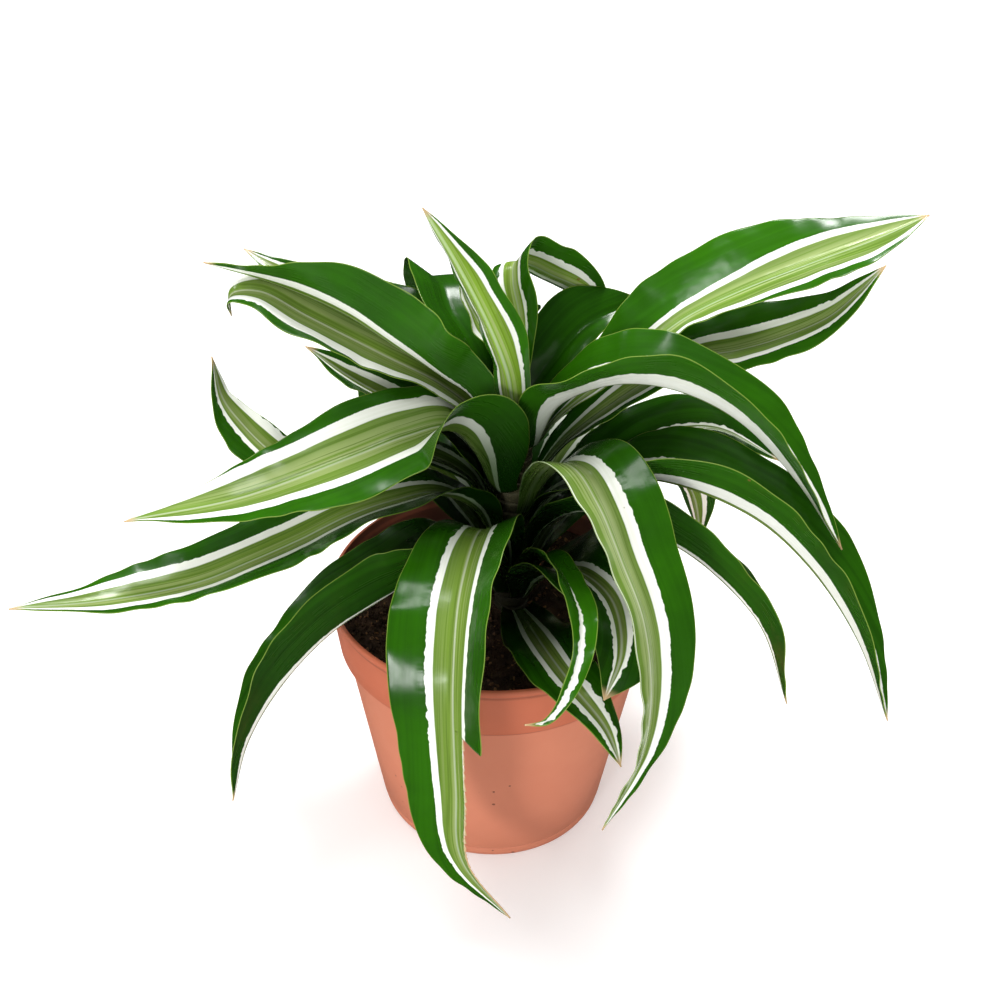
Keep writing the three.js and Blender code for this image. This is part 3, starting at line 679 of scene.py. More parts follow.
def make_soil_material(name, colours, fibre_share):
    """Peat and bark: dark, uneven, with pale threads and crumbs"""
    shader, place, mottle = new_material(name, patch_scale=160.0, grain_scale=2100.0)
    surface = blend(mottle["Patches"], colours.soil, times(colours.soil, 2.6))
    surface = tint(surface, ramp(mottle["Grain"], 0.55, 0.75), 0.35, colours.fibre)
    surface, specks = specks_on(surface, place, 0.6, colours.fibre, spacing=0.0018, size=0.3, share=0.09)
    pale = ramp(attribute(place.tree, "crumb_tone"), 1.0 - fibre_share, 1.0)
    surface = blend(pale, surface, times(colours.fibre, 1.5))
    dress(shader, {"Base Color": surface, "Specular IOR Level": 0.25,
                   "Roughness": calc("MULTIPLY_ADD", mottle["Patches"], 0.14, 0.82)},
          mottle["Grain"] + specks, depth=0.0006)


def make_cane_material(colours):
    """Green-brown young bark with small flecks, darker towards its foot"""
    shader, place, mottle = new_material("young_bark", patch_scale=220.0, grain_scale=1800.0)
    surface = blend(mottle["Patches"], colours.cane, times(colours.cane, 0.5))
    surface = tint(surface, ramp(mottle["Grain"], 0.5, 0.7), 0.5, colours.bark_fleck)
    shaded = ramp(height_of(place), 0.175, 0.110, 0.0, 0.9)
    surface = blend(shaded, surface, times(colours.cane, 0.18))
    dress(shader, {"Base Color": surface, "Roughness": calc("MULTIPLY_ADD", mottle["Patches"], 0.2, 0.6)},
          mottle["Grain"], depth=0.0003)


def make_floor_material(colours, glow):
    """Pale, even studio paper"""
    shader, _, mottle = new_material("studio_paper", patch_scale=2.0, grain_scale=600.0)
    dress(shader, {"Base Color": tint(colours.floor, mottle["Patches"], 0.3, times(colours.floor, 0.985)),
                   "Roughness": 0.9, "Specular IOR Level": 0.1, "Emission Color": (1.0, 1.0, 1.0),
                   "Emission Strength": glow})


# ---- Mesh helpers ----

def add_object(name, mesh, material=None):
    """An object in the scene, at the origin"""
    made = bpy.data.objects.new(name, mesh)
    bpy.context.scene.collection.objects.link(made)
    if material:
        mesh.materials.append(material)
    return made


def mesh_from(name, points, faces):
    """A smoothly shaded mesh"""
    mesh = bpy.data.meshes.new(name)
    mesh.from_pydata([tuple(point) for point in points], [], faces)
    mesh.polygons.foreach_set("use_smooth", [True] * len(mesh.polygons))
    mesh.validate()
    mesh.update()
    return mesh


def face_outwards(mesh):
    """Turns a closed mesh's faces over if they enclose less than nothing"""
    mesh.calc_loop_triangles()
    points = [vertex.co for vertex in mesh.vertices]
    corners = (triangle.vertices for triangle in mesh.loop_triangles)
    if sum(points[a].dot(points[b].cross(points[c])) for a, b, c in corners) < 0:
        mesh.flip_normals()


def apply_tree(piece, tree, values):
    """Runs a geometry tree on a piece and keeps its result as a plain mesh"""
    modifier = piece.modifiers.new("shape", "NODES")
    modifier.node_group = tree
    names = {item.name: item.identifier for item in tree.interface.items_tree if item.in_out == "INPUT"}
    for key, value in values.items():
        modifier[names[key]] = value
    bpy.context.view_layer.update()
    ready = piece.evaluated_get(bpy.context.evaluated_depsgraph_get())
    mesh = bpy.data.meshes.new_from_object(ready)
    piece.modifiers.remove(modifier)
    piece.data = mesh
    return mesh


def end_tree(geometry, given, out):
    """Realizes what a geometry tree made, gives it its finish and puts it out"""
    whole = add("GeometryNodeRealizeInstances", {0: geometry})[0]
    put(add("GeometryNodeSetMaterial", {"Geometry": whole, "Material": given["Finish"]})[0],
        out["Geometry"])


# ---- Turned pieces: pot and cane ----

def make_turning_tree():
    """Turns a line of points in the XZ plane about the Z axis, and drills a ring of holes in it"""
    given, out = new_group(
        "turned piece", "GeometryNodeTree",
        [("Profile", GEOMETRY), ("Points", INT, 12), ("Sides", INT, 64), ("Holes", INT, 0),
         ("Hole Radius", FLOAT, 0.004), ("Hole Circle", FLOAT, 0.03), ("Finish", MATERIAL)],
        [("Geometry", GEOMETRY)])
    drill_sides, drill_depth, weld = 40, 0.012, 1e-6
    seam = given["Sides"] + 1.0
    grid = add("GeometryNodeMeshGrid", {"Vertices X": given["Points"], "Vertices Y": seam})["Mesh"]
    index = add("GeometryNodeInputIndex", {}, grid.tree)[0]
    row = calc("FLOOR", (index + 0.5) / seam)
    turn = (index - row * seam) * (2 * math.pi) / given["Sides"]
    spot = add("GeometryNodeSampleIndex",
               {"Geometry": given["Profile"],
                "Value": add("GeometryNodeInputPosition", {}, grid.tree)[0], "Index": row},
               data_type="FLOAT_VECTOR", domain="POINT", clamp=True)[0]
    turned = add("ShaderNodeVectorRotate", {"Vector": spot, "Angle": turn}, rotation_type="Z_AXIS")[0]
    shaped = add("GeometryNodeSetPosition", {"Geometry": grid, "Position": turned})[0]
    closed = add("GeometryNodeMergeByDistance", {"Geometry": shaped, "Distance": weld})[0]
    ring = add("GeometryNodeMeshCircle", {"Vertices": given["Holes"], "Radius": given["Hole Circle"]})[0]
    drill = add("GeometryNodeMeshCylinder", {"Vertices": drill_sides, "Radius": given["Hole Radius"],
                                             "Depth": drill_depth})["Mesh"]
    drills = add("GeometryNodeInstanceOnPoints", {"Points": ring, "Instance": drill})[0]
    half_step = math.pi / calc("MAXIMUM", given["Holes"], 1.0)
    drills = add("GeometryNodeRotateInstances", {
        "Instances": drills, "Rotation": vector_of(z=half_step), "Pivot Point": (0.0, 0.0, 0.0),
        "Local Space": False})[0]
    drills = add("GeometryNodeRealizeInstances", {0: drills})[0]
    cut = add("GeometryNodeMeshBoolean", {0: closed, 1: drills}, operation="DIFFERENCE",
              solver="EXACT")["Mesh"]
    drilled = add("GeometryNodeSwitch", {"Switch": calc("GREATER_THAN", given["Holes"], 0.5),
                                         "False": closed, "True": cut}, input_type="GEOMETRY")[0]
    end_tree(add("GeometryNodeSetShadeSmooth", {"Geometry": drilled})[0], given, out)


def turn_profile(name, profile, sides, material, shift=0.0, holes=None):
    """A piece turned from (radius, height) pairs in metres, its axis shifted to the right"""
    line = bpy.data.meshes.new(name)
    line.from_pydata([(radius, 0.0, height) for radius, height in profile],
                     [(i, i + 1) for i in range(len(profile) - 1)], [])
    piece = add_object(name, line)
    mesh = apply_tree(piece, bpy.data.node_groups["turned piece"], {
        "Points": len(profile), "Sides": sides, "Finish": bpy.data.materials[material],
        **(holes or {"Holes": 0})})
    mesh.transform(Matrix.Translation((shift, 0.0, 0.0)))
    face_outwards(mesh)
    mesh.set_sharp_from_angle(angle=math.radians(50))
    return piece


def pot_profile(size):
    """Outline of the pot's wall, from the middle of its underside round to the middle of its floor"""
    top, rim, wall = size.height, size.rim_radius, size.wall
    collar, foot, body = size.collar_foot_radius, size.foot_radius, size.body_top_radius
    ledge = top - size.collar_height
    slope = (rim - collar) / size.collar_height
    lip = top - size.lip_height
    at_lip = rim - slope * size.lip_height - size.lip_proud

    def on_body(height):
        return foot + (body - foot) * height / ledge

    # A foot ring round a slightly hollow underside, a fine groove above it, the ledge, the collar, the
    # lip and the inside, with edges rounded in small steps
    return [
        (0.0, 0.0004), (foot - 0.0052, 0.0004), (foot - 0.0046, 0.0), (foot - 0.0012, 0.0),
        (foot - 0.0004, 0.0003), (foot, 0.0012), (on_body(0.0042), 0.0042),
        (on_body(0.0046) - 0.00022, 0.0046), (on_body(0.0050), 0.0050), (on_body(0.03), 0.03),
        (on_body(0.055), 0.055), (body - 0.0001, ledge - 0.0012), (body + 0.0003, ledge - 0.0002),
        (collar - 0.0005, ledge - 0.0001), (collar, ledge + 0.0007), (collar + slope * 0.010, ledge + 0.010),
        (at_lip - 0.0001, lip - 0.0007), (at_lip + 0.0001, lip - 0.0001), (rim - 0.0005, lip + 0.0003),
        (rim - 0.0001, lip + 0.0010), (rim, top - 0.0010), (rim - 0.0003, top - 0.0002),
        (rim - 0.0007, top), (rim - wall + 0.0002, top), (rim - wall - 0.0001, top - 0.0004),
        (collar - wall, ledge + wall), (body - wall, ledge - 0.0006), (on_body(0.03) - wall, 0.03),
        (foot - wall, wall + 0.0012), (foot - wall - 0.0012, wall), (0.0, wall),
    ]


def cane_profile(size):
    """Outline of the cane, with a scar wherever an old leaf stood"""
    shoulder, groove, taper = 0.003, 0.0007, 0.0002
    radius, pitch, height = size.cane_radius, size.ring_pitch, size.cane_foot
    profile = [(0.0, height)]
    while height < size.cane_top - shoulder - pitch:
        profile += [(radius - taper, height), (radius, height + pitch * 0.7),
                    (radius - groove, height + pitch * 0.82)]
        height += pitch
    return profile + [(radius - taper, size.cane_top - shoulder), (radius * 0.6, size.cane_top),
                      (0.0, size.cane_top)]


# ---- Potting mix ----

def soil_height(x, y, edge, size):
    """Height of the mix: a low mound with rounded lumps and small crumbs

    The waves have fixed lengths, written as radians to the millimetre.
    """
    out = np.hypot(x, y) / edge
    x, y = x / MM, y / MM
    lumps = np.sin(x * 0.31 + 1.3) * np.cos(y * 0.27 - 0.4) + 0.5 * np.sin(x * 0.13 - y * 0.17)
    crumbs = (np.sin(x * 1.7 + 2.0 * np.sin(y * 0.9)) * np.cos(y * 1.9 + 1.4 * np.sin(x * 1.1))
              + 0.6 * np.sin(x * 3.1 + y * 2.3) * np.cos(y * 3.7 - x * 1.6))
    fade = 1 - out ** 6
    return size.top + size.crown * (1 - out ** 2) + size.lump * lumps * fade + size.ripple * crumbs * fade


def soil_body(size, pot):
    """Closed body of the mix, lumped on top and plain where the pot hides it, and its radius on top"""
    inner, slack = pot.wall + 0.0003, 0.0002
    ledge = pot.height - pot.collar_height
    slope = (pot.rim_radius - pot.collar_foot_radius) / pot.collar_height
    edge = pot.collar_foot_radius + slope * (size.top - ledge) - inner - slack
    around, rings = 150, 46
    angles = np.arange(around) * 2 * math.pi / around

    def ring_at(radius, height=None):
        x, y = radius * np.cos(angles), radius * np.sin(angles)
        level = soil_height(x, y, edge, size) if height is None else np.full(around, height)
        return np.stack([x, y, level], 1)

    below_ledge, above_ledge = 0.001, pot.wall + 0.0006
    rows = [ring_at(pot.foot_radius - inner - 2 * slack, inner),
            ring_at(pot.body_top_radius - inner - slack, ledge - below_ledge),
            ring_at(pot.collar_foot_radius - inner - slack, ledge + above_ledge)]
    rows += [ring_at(edge * (1 - ring / rings)) for ring in range(rings)]
    middles = [[0.0, 0.0, float(soil_height(0.0, 0.0, edge, size))], [0.0, 0.0, inner]]
    points = np.concatenate([*rows, np.array(middles)])
    top = len(rows) * around
    bottom, last = top + 1, top - around
    faces = []
    for i in range(0, last, around):
        for j in range(around):
            k = (j + 1) % around
            faces.append((i + j, i + k, i + around + k, i + around + j))
    for j in range(around):
        k = (j + 1) % around
        faces += [(last + j, last + k, top), (k, j, bottom)]
    mesh = mesh_from("potting_mix", points, faces)
    face_outwards(mesh)
    return mesh, edge


def make_crumb_tree():
    """Scatters crumbs and fibres over the upward faces of the mix"""
    given, out = new_group(
        "crumbs and fibres", "GeometryNodeTree",
        [("Surface", GEOMETRY), ("Grain Size", FLOAT, 0.002), ("Grain Density", FLOAT, 1e5),
         ("Fibre Length", FLOAT, 0.006), ("Fibre Density", FLOAT, 1e4), ("Lowest", FLOAT, 0.08),
         ("Edge", FLOAT, 0.055), ("Seed", INT, 1), ("Finish", MATERIAL)],
        [("Geometry", GEOMETRY)])
    tree = given["Seed"].tree
    steepest, fibre_seed, size_seed, tone_seed = 0.3, 50.0, 11.0, 23.0
    spot = add("GeometryNodeInputPosition", {}, tree)[0]
    reach = length_of(flat(spot))
    facing_up = calc("GREATER_THAN", height_of(add("GeometryNodeInputNormal", {}, tree)[0]), steepest)
    chosen = facing_up * calc("GREATER_THAN", height_of(spot), given["Lowest"])

    def any_vector(low, high, seed):
        made = add("FunctionNodeRandomValue", {"Seed": seed}, data_type="FLOAT_VECTOR")
        put(low, made.node.inputs[0])
        put(high, made.node.inputs[1])
        return made[0]

    def scatter(density, shape, seed_step, low, high, tilt, inset):
        """Copies of a shape, between the low and high scale, that keep off the wall"""
        seed = given["Seed"] + seed_step
        inside = calc("LESS_THAN", reach, given["Edge"] - inset)
        points = add("GeometryNodeDistributePointsOnFaces", {
            "Mesh": given["Surface"], "Selection": chosen * inside, "Density": density, "Seed": seed},
            distribute_method="RANDOM")["Points"]
        placed = add("GeometryNodeInstanceOnPoints", {
            "Points": points, "Instance": shape, "Scale": any_vector(low, high, seed + size_seed),
            "Rotation": any_vector((-tilt, -tilt, 0.0), (tilt, tilt, 2 * math.pi), seed)})[0]
        tone = add("FunctionNodeRandomValue", {"Seed": seed + tone_seed}, data_type="FLOAT")[1]
        return add("GeometryNodeStoreNamedAttribute", {
            "Geometry": placed, "Name": "crumb_tone", "Value": tone}, data_type="FLOAT",
            domain="INSTANCE")[0]

    lump_scale, lump_share, fibre_radius, ends = 700.0, 0.9, 0.00016, 5
    ball = add("GeometryNodeMeshIcoSphere", {"Radius": given["Grain Size"] * 0.5, "Subdivisions": 2})["Mesh"]
    lumpy = add("ShaderNodeTexNoise", {"Vector": spot, "Scale": lump_scale, "Detail": 1.0})["Color"]
    shift = vector_calc("SUBTRACT", {0: lumpy, 1: (0.5, 0.5, 0.5)})
    shift = vector_calc("SCALE", {0: shift, "Scale": given["Grain Size"] * lump_share})
    grain = add("GeometryNodeSetPosition", {"Geometry": ball, "Offset": shift})[0]
    reed = add("GeometryNodeCurvePrimitiveBezierSegment", {
        "Resolution": ends, "Start": (-0.5, 0.0, 0.0), "Start Handle": (-0.2, 0.18, 0.06),
        "End Handle": (0.2, -0.14, 0.05), "End": (0.5, 0.05, 0.0)}, tree)[0]
    reed = add("GeometryNodeTransform", {
        "Geometry": reed, "Scale": vector_of(*[given["Fibre Length"]] * 3)})[0]
    section = add("GeometryNodeCurvePrimitiveCircle", {"Resolution": ends, "Radius": fibre_radius}, tree)[0]
    reed = add("GeometryNodeCurveToMesh", {"Curve": reed, "Profile Curve": section, "Fill Caps": True})[0]
    grains = scatter(given["Grain Density"], grain, 0.0, (0.25, 0.25, 0.2), (1.25, 1.0, 0.8),
                     tilt=3.1, inset=0.0018)
    fibres = scatter(given["Fibre Density"], reed, fibre_seed, (0.3, 0.3, 0.6), (1.3, 1.3, 1.2),
                     tilt=0.35, inset=0.0052)
    both = add("GeometryNodeJoinGeometry", {0: grains})
    put(fibres, both.node.inputs[0])
    end_tree(both[0], given, out)


# ---- Blades ----

def smooth(x):
    """0 below 0 and 1 above 1, with a soft step between"""
    x = np.clip(x, 0.0, 1.0)
    return x * x * (3 - 2 * x)


def blend_along(values, t):
    """A value along the blade, from those for its middle and tip, and for its root if three"""
    root, middle, tip = values if len(values) == 3 else (values[0], *values)
    return np.where(t < 0.5, root + (middle - root) * smooth(t * 2),
                    middle + (tip - middle) * smooth(t * 2 - 1))


def path_points(leaf, shares, size):
    """Points on a blade's path, at shares of its length, about the cane's axis, and its length"""
    heading, height = leaf["base"]
    reach = leaf.get("base_reach", size.cane_radius / MM + ROOT_GAP + KEEL_AT_ROOT / 2)
    stops = np.array([(r * math.cos(math.radians(h)), r * math.sin(math.radians(h)), z)
                      for h, r, z in [(heading, reach, height), *leaf["path"]]])
    stops = np.vstack([2 * stops[0] - stops[1], stops, 2 * stops[-1] - stops[-2]])
    fine = []
    # A centripetal Catmull-Rom curve: each stretch is blended from the four stops about it
    for four in (stops[i:i + 4] for i in range(len(stops) - 3)):
        knots = np.concatenate([[0.0], np.cumsum(np.sqrt(np.linalg.norm(np.diff(four, axis=0), axis=1)))])
        for now in np.linspace(knots[1], knots[2], PATH_STEPS, endpoint=False):
            level = list(four)
            for span, steps, first in ((1, 3, 0), (2, 2, 0), (1, 1, 1)):
                level = [((knots[k + span] - now) * level[i] + (now - knots[k]) * level[i + 1])
                         / (knots[k + span] - knots[k])
                         for i, k in enumerate(range(first, first + steps))]
            fine.append(level[0])
    fine = np.array([*fine, stops[-2]])
    run = np.concatenate([[0.0], np.cumsum(np.linalg.norm(np.diff(fine, axis=0), axis=1))])
    points = np.stack([np.interp(shares * run[-1], run, fine[:, axis]) for axis in range(3)], 1)
    return points, run[-1]


def frames_along(points, leaf, shares):
    """Across and up directions, carried along the path without twist and then rolled"""
    heading = math.radians(leaf["base"][0])
    side = np.array([-math.sin(heading), math.cos(heading), 0.0])
    turns = np.radians(blend_along(leaf["roll"], shares))
    across, up = np.zeros_like(points), np.zeros_like(points)
    last = len(points) - 1
    for i in range(len(points)):
        along = points[min(i + 2, last)] - points[max(i - 2, 0)]
        along /= np.linalg.norm(along)
        side = side - side.dot(along) * along
        side /= np.linalg.norm(side)
        across[i] = side * math.cos(turns[i]) + np.cross(along, side) * math.sin(turns[i])
        up[i] = np.cross(along, across[i])
    return across, up


def full_half_width(leaf, t):
    """Half width with both sides equal: narrow root, widest at the peak, fine tip"""
    root, peak = leaf["root"], leaf["peak"]
    swell, taper = 1.3, 1.9
    rising = root + (1 - root) * np.sin(np.clip(t / peak, 0, 1) * math.pi / 2) ** swell
    falling = 1 - np.clip((t - peak) / (1 - peak), 0, 1) ** taper
    return leaf["width"] / 2 * np.where(t < peak, rising, falling)


def column(leaf, t, points, across, up, station, size):
    """One line of the blade's middle surface, and its half width

    Station is the share of the half width at which the line lies, below 0 on the clockwise half.
    """
    share = leaf.get("sides", (1, 1))[1 if station > 0 else 0]
    flare_side, flare_share = leaf.get("flare", (0, 1))
    if station * flare_side > 0:
        share = share + (flare_share - share) * smooth((t - FLARE_START) / FLARE_FADE)
    half = np.maximum(full_half_width(leaf, t) * share, TIP_HALF_WIDTH)
    opened = smooth(t / CLASP_END)
    hood = leaf.get("hood")
    hooded = bool(hood) and station * hood["side"] > 0
    if hooded:
        raised = 1 - smooth((t - hood["until"]) / HOOD_FADE)
        opened = smooth(t / hood["until"])
        spread = HOOD_ROOT + (1 - HOOD_ROOT) * opened
        half = np.maximum(half, leaf["width"] / 2 * hood["share"] * raised * spread)
    # The slope of the surface is followed in small slices from the keel out to the station
    slices = ((np.arange(SLICES) + 0.5) / SLICES * abs(station))[None, :]
    fold = np.radians(blend_along(leaf["fold"], t))[:, None]
    edge = np.radians(blend_along(leaf["edge"], t))[:, None]
    clasp = (half / np.hypot(points[:, 0], points[:, 1]))[:, None]
    turned = fold * np.minimum(1, slices / KEEL_ROUNDING) * (1 - slices) + edge * slices
    if hooded:
        stood = math.radians(hood["slope"]) * np.minimum(1, slices / KEEL_ROUNDING / 2)
        turned = turned + (stood - turned) * raised[:, None]
    slope = clasp * slices * (1 - opened[:, None]) + turned * opened[:, None]
    out = np.cos(slope).mean(1) * station
    rise = np.sin(slope).mean(1) * abs(station)
    quarter_turn = 0.25 if station > 0 else 0
    swing = np.sin(2 * math.pi * (LONG_WAVES * t + quarter_turn))
    wave = size.wave_height / MM * swing * station ** 2 * np.sin(math.pi * t)
    return points + across * (out * half)[:, None] + up * (rise * half + wave)[:, None], half


def torn_limit(torn, shares, along_mm):
    """How much of a torn half is left along the blade, with a ragged edge

    The waves have fixed lengths, written as radians to the millimetre.
    """
    ragged = (0.05 * np.sin(along_mm * 1.9) * np.sin(along_mm * 0.63 + 1)
              + 0.02 * np.sin(along_mm * 4.1))
    return np.where(shares > torn["start"] + CUT_SHARE / 2, torn["share"] + ragged, 1.0)


def blade_line(leaf, shares, along_mm, frame_lines, station, size):
    """One line of the blade, its half width, and how much of that a tear has left"""
    torn = leaf.get("torn")
    if not torn or station * torn["side"] <= 0:
        return *column(leaf, shares, *frame_lines, station, size), np.ones_like(shares)
    limit = torn_limit(torn, shares, along_mm)
    line, half = np.zeros((len(shares), 3)), np.zeros_like(shares)
    # Hundredths of the half width, each a little wider than a hundredth so that no row is left out
    reach = 0.006
    for cut in np.unique(np.round(limit, 2)):
        rows = np.abs(limit - cut) < reach
        some, wide = column(leaf, shares, *frame_lines, station * cut, size)
        line[rows], half[rows] = some[rows], wide[rows]
    return line, half, limit


def ruffles(along_mm, side, waves):
    """Short ruffles of a margin, between -1 and 1, out of step on the two sides

    Their lengths are written as millimetres to the radian.
    """
    bent = 1.5 * np.sin(along_mm / 9 + waves[1])
    return (0.55 * np.sin(along_mm / 2.3 + waves[0] + 2.2 * side + bent)
            + 0.45 * np.sin(along_mm / 4.1 + waves[2] + 1.1 * side))


def shell_faces(rows, columns):
    """Faces of a closed blade: its upper points come first and its under points after them"""
    grid = np.arange(rows * columns).reshape(rows, columns)
    low = grid + rows * columns
    loops = [
        (grid[:-1, :-1], grid[1:, :-1], grid[1:, 1:], grid[:-1, 1:]),
        (low[:-1, :-1], low[:-1, 1:], low[1:, 1:], low[1:, :-1]),
        (grid[:-1, 0], low[:-1, 0], low[1:, 0], grid[1:, 0]),
        (grid[1:, -1], low[1:, -1], low[:-1, -1], grid[:-1, -1]),
        (grid[0, 1:], low[0, 1:], low[0, :-1], grid[0, :-1]),
        (grid[-1, :-1], low[-1, :-1], low[-1, 1:], grid[-1, 1:]),
    ]
    return np.concatenate([np.stack(loop, -1).reshape(-1, 4) for loop in loops]).tolist()


def crinkle_along(points, shares, run, steps):
    """How puckered the white bands are along a blade: most where it bends hard"""
    bend = np.linalg.norm(np.gradient(np.gradient(points, axis=0), axis=0), axis=1)
    window, straight, gain, least, smooth_root = 9, 0.008, 42, 0.05, 0.08
    bend = np.convolve(bend / (run / steps) ** 2, np.ones(window) / window, mode="same")
    return np.clip((bend - straight) * gain, least, 1.0) * smooth(shares / smooth_root - 1)


def blade_mesh(name, leaf, size, seed):
    """Closed mesh of one blade, with what its finish reads stored on its points"""
    torn = leaf.get("torn")
    shares = np.linspace(0.0, 1.0, size.blade_steps + 1)
    if torn:
        shares = np.sort(np.append(shares, [torn["start"], torn["start"] + CUT_SHARE]))
    points, run = path_points(leaf, shares, size)
    frame_lines = points, *frames_along(points, leaf, shares)
    along_mm = shares * run
    near_margin = 0.97
    inner = np.sort(np.append(np.linspace(0.0, 1.0, size.half_columns + 1)[1:], near_margin))
    stations = np.concatenate([-inner[::-1], [0.0], inner])
    lines = [blade_line(leaf, shares, along_mm, frame_lines, station, size) for station in stations]
    middle, half, kept = (np.stack(values, 1) for values in zip(*lines))
    place = stations * kept

    normal = np.cross(np.gradient(middle, axis=0), np.gradient(middle, axis=1))
    normal /= np.maximum(np.linalg.norm(normal, axis=2, keepdims=True), 1e-9)
    t, along = shares[:, None], along_mm[:, None]
    waves = np.random.default_rng(seed).uniform(0, 2 * math.pi, 3)
    ruffle = size.ruffle_height / MM * ruffles(along, stations > 0, waves)
    ruffle = ruffle * np.abs(place) ** 3 * np.sin(math.pi * t) ** 0.5
    shaped = middle + normal * ruffle[..., None]
    thin_out, keel_half_width = 0.55, 0.22
    keel = size.keel_thickness - size.blade_thickness
    keel = keel * np.exp(-(place / keel_half_width) ** 2) * (1 - t) ** 2
    depth = (size.blade_thickness * (1 - thin_out * np.abs(stations) ** 6) + keel) / MM / 2
    above, below = 0.8, 1.2
    both = np.concatenate([(shaped + normal * (depth * above)[..., None]).reshape(-1, 3),
                           (shaped - normal * (depth * below)[..., None]).reshape(-1, 3)]) * MM
    both[:, 0] += size.cane_offset
    mesh = mesh_from(name, both, shell_faces(*depth.shape))

    (centre_middle, white_middle), (centre_tip, white_tip) = leaf["bands"]
    bands_turn, bands_fade, dry_tip, dry_fade, seed_step = 0.45, 0.5, 5.0, 4.5, 1.7
    late = smooth((t - bands_turn) / bands_fade)
    full = full_half_width(leaf, t)
    torn_here = np.zeros_like(depth)
    if torn:
        frayed_share, frayed_width = 0.02, 0.9
        to_tear = (torn["share"] + frayed_share - np.abs(place)) * half
        past = (t > torn["start"] + CUT_SHARE / 2) & (place * torn["side"] > 0)
        torn_here = past & (to_tear < frayed_width)
    facts = {
        "across_mm": place * half - leaf.get("lean", 0) * full / (leaf["width"] / 2),
        "along_mm": along,
        "to_margin": (1 - np.abs(place)) * half,
        "centre_edge": (centre_middle + (centre_tip - centre_middle) * late) * full,
        "white_edge": (white_middle + (white_tip - white_middle) * late) * full,
        "crinkle": crinkle_along(points, shares, run, size.blade_steps)[:, None],
        "dryness": smooth((along - (run - dry_tip)) / dry_fade),
        "torn": torn_here, "tone": leaf["tone"], "leaf_seed": seed * seed_step,
    }
    for key, values in facts.items():
        store(mesh, key, np.tile(np.broadcast_to(values, depth.shape).ravel(), 2))
    store(mesh, "upper_face", np.repeat([1.0, 0.0], depth.size))
    return mesh


def store(mesh, name, values):
    """A number on every point of a mesh"""
    made = mesh.attributes.new(name, "FLOAT", "POINT")
    made.data.foreach_set("value", np.ascontiguousarray(values, dtype=np.float32))


def make_whorl(context, whorl):
    """The blades of one whorl, each in the place of its node"""
    order = [name for leaves in WHORLS.values() for name in leaves]
    finish = bpy.data.materials["striped_young_leaf" if whorl == "heart" else "striped_leaf"]
    for name, leaf in WHORLS[whorl].items():
        mesh = blade_mesh("blade_" + name, leaf, context.scene.dracaena_plant, order.index(name) + 1)
        piece = add_object("blade_" + name, mesh, finish)
        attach(piece, "root")
        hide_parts("leaf_" + name)


# ---- Operators ----

class DRACAENA_OT_finishes(bpy.types.Operator):
    """Build the shared effects and every finish"""
    bl_idname = "dracaena.finishes"
    bl_label = "Finishes"

    def execute(self, context):
        scene, colours = context.scene, context.scene.dracaena_colours
        for make in (make_band_group, make_streak_group, make_speck_group, make_mottle_group):
            make()
        make_crown_group(scene.dracaena_plant.cane_offset)
        make_blade_material("striped_leaf", colours)
        make_blade_material("striped_young_leaf", colours, young=True)
        make_pot_material(colours, scene.dracaena_pot)
        make_soil_material("peat_mix", colours, fibre_share=0.04)
        make_soil_material("crumbs_of_bark", colours, fibre_share=0.16)
        make_cane_material(colours)
        make_floor_material(colours, scene.dracaena_stage.floor_glow)
        make_turning_tree()
        make_crumb_tree()
        return {"FINISHED"}


class DRACAENA_OT_pot(bpy.types.Operator):
    """Turn the nursery pot and drill its drain holes"""
    bl_idname = "dracaena.pot"
    bl_label = "Pot"

    def execute(self, context):
        size = context.scene.dracaena_pot
        piece = turn_profile("nursery_pot", pot_profile(size), size.sides, "nursery_pot_plastic", holes={
            "Holes": size.drain_holes, "Hole Radius": size.drain_radius, "Hole Circle": size.drain_circle})
        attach(piece, "root")
        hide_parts("pot")
        return {"FINISHED"}


class DRACAENA_OT_soil(bpy.types.Operator):
    """Fill the pot with mix and strew crumbs and fibres over it"""
    bl_idname = "dracaena.soil"
    bl_label = "Potting mix"

    def execute(self, context):
        size = context.scene.dracaena_soil
        mesh, edge = soil_body(size, context.scene.dracaena_pot)
        strewn = mesh.copy()
        body = add_object("potting_mix", mesh, bpy.data.materials["peat_mix"])
        crumbs = add_object("mix_crumbs", strewn)
        below_top = 0.003
        apply_tree(crumbs, bpy.data.node_groups["crumbs and fibres"], {
            "Grain Size": size.grain, "Grain Density": size.grain_density, "Fibre Length": size.fibre,
            "Fibre Density": size.fibre_density, "Lowest": size.top - below_top, "Edge": edge,
            "Seed": size.seed, "Finish": bpy.data.materials["crumbs_of_bark"]})
        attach(body, "root")
        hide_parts("soil")
        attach(crumbs, "root")
        return {"FINISHED"}


class DRACAENA_OT_cane(bpy.types.Operator):
    """Turn the cane with its leaf scars"""
    bl_idname = "dracaena.cane"
    bl_label = "Cane"

    def execute(self, context):
        size = context.scene.dracaena_plant
        piece = turn_profile("cane", cane_profile(size), size.cane_sides, "young_bark",
                             shift=size.cane_offset)
        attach(piece, "root")
        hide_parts("stem")
        return {"FINISHED"}


class DRACAENA_OT_heart(bpy.types.Operator):
    """Shape the young leaves in the heart"""
    bl_idname = "dracaena.heart"
    bl_label = "Heart leaves"

    def execute(self, context):
        make_whorl(context, "heart")
        return {"FINISHED"}


class DRACAENA_OT_upper(bpy.types.Operator):
    """Shape the upper whorl of blades"""
    bl_idname = "dracaena.upper"
    bl_label = "Upper whorl"

    def execute(self, context):
        make_whorl(context, "upper")
        return {"FINISHED"}


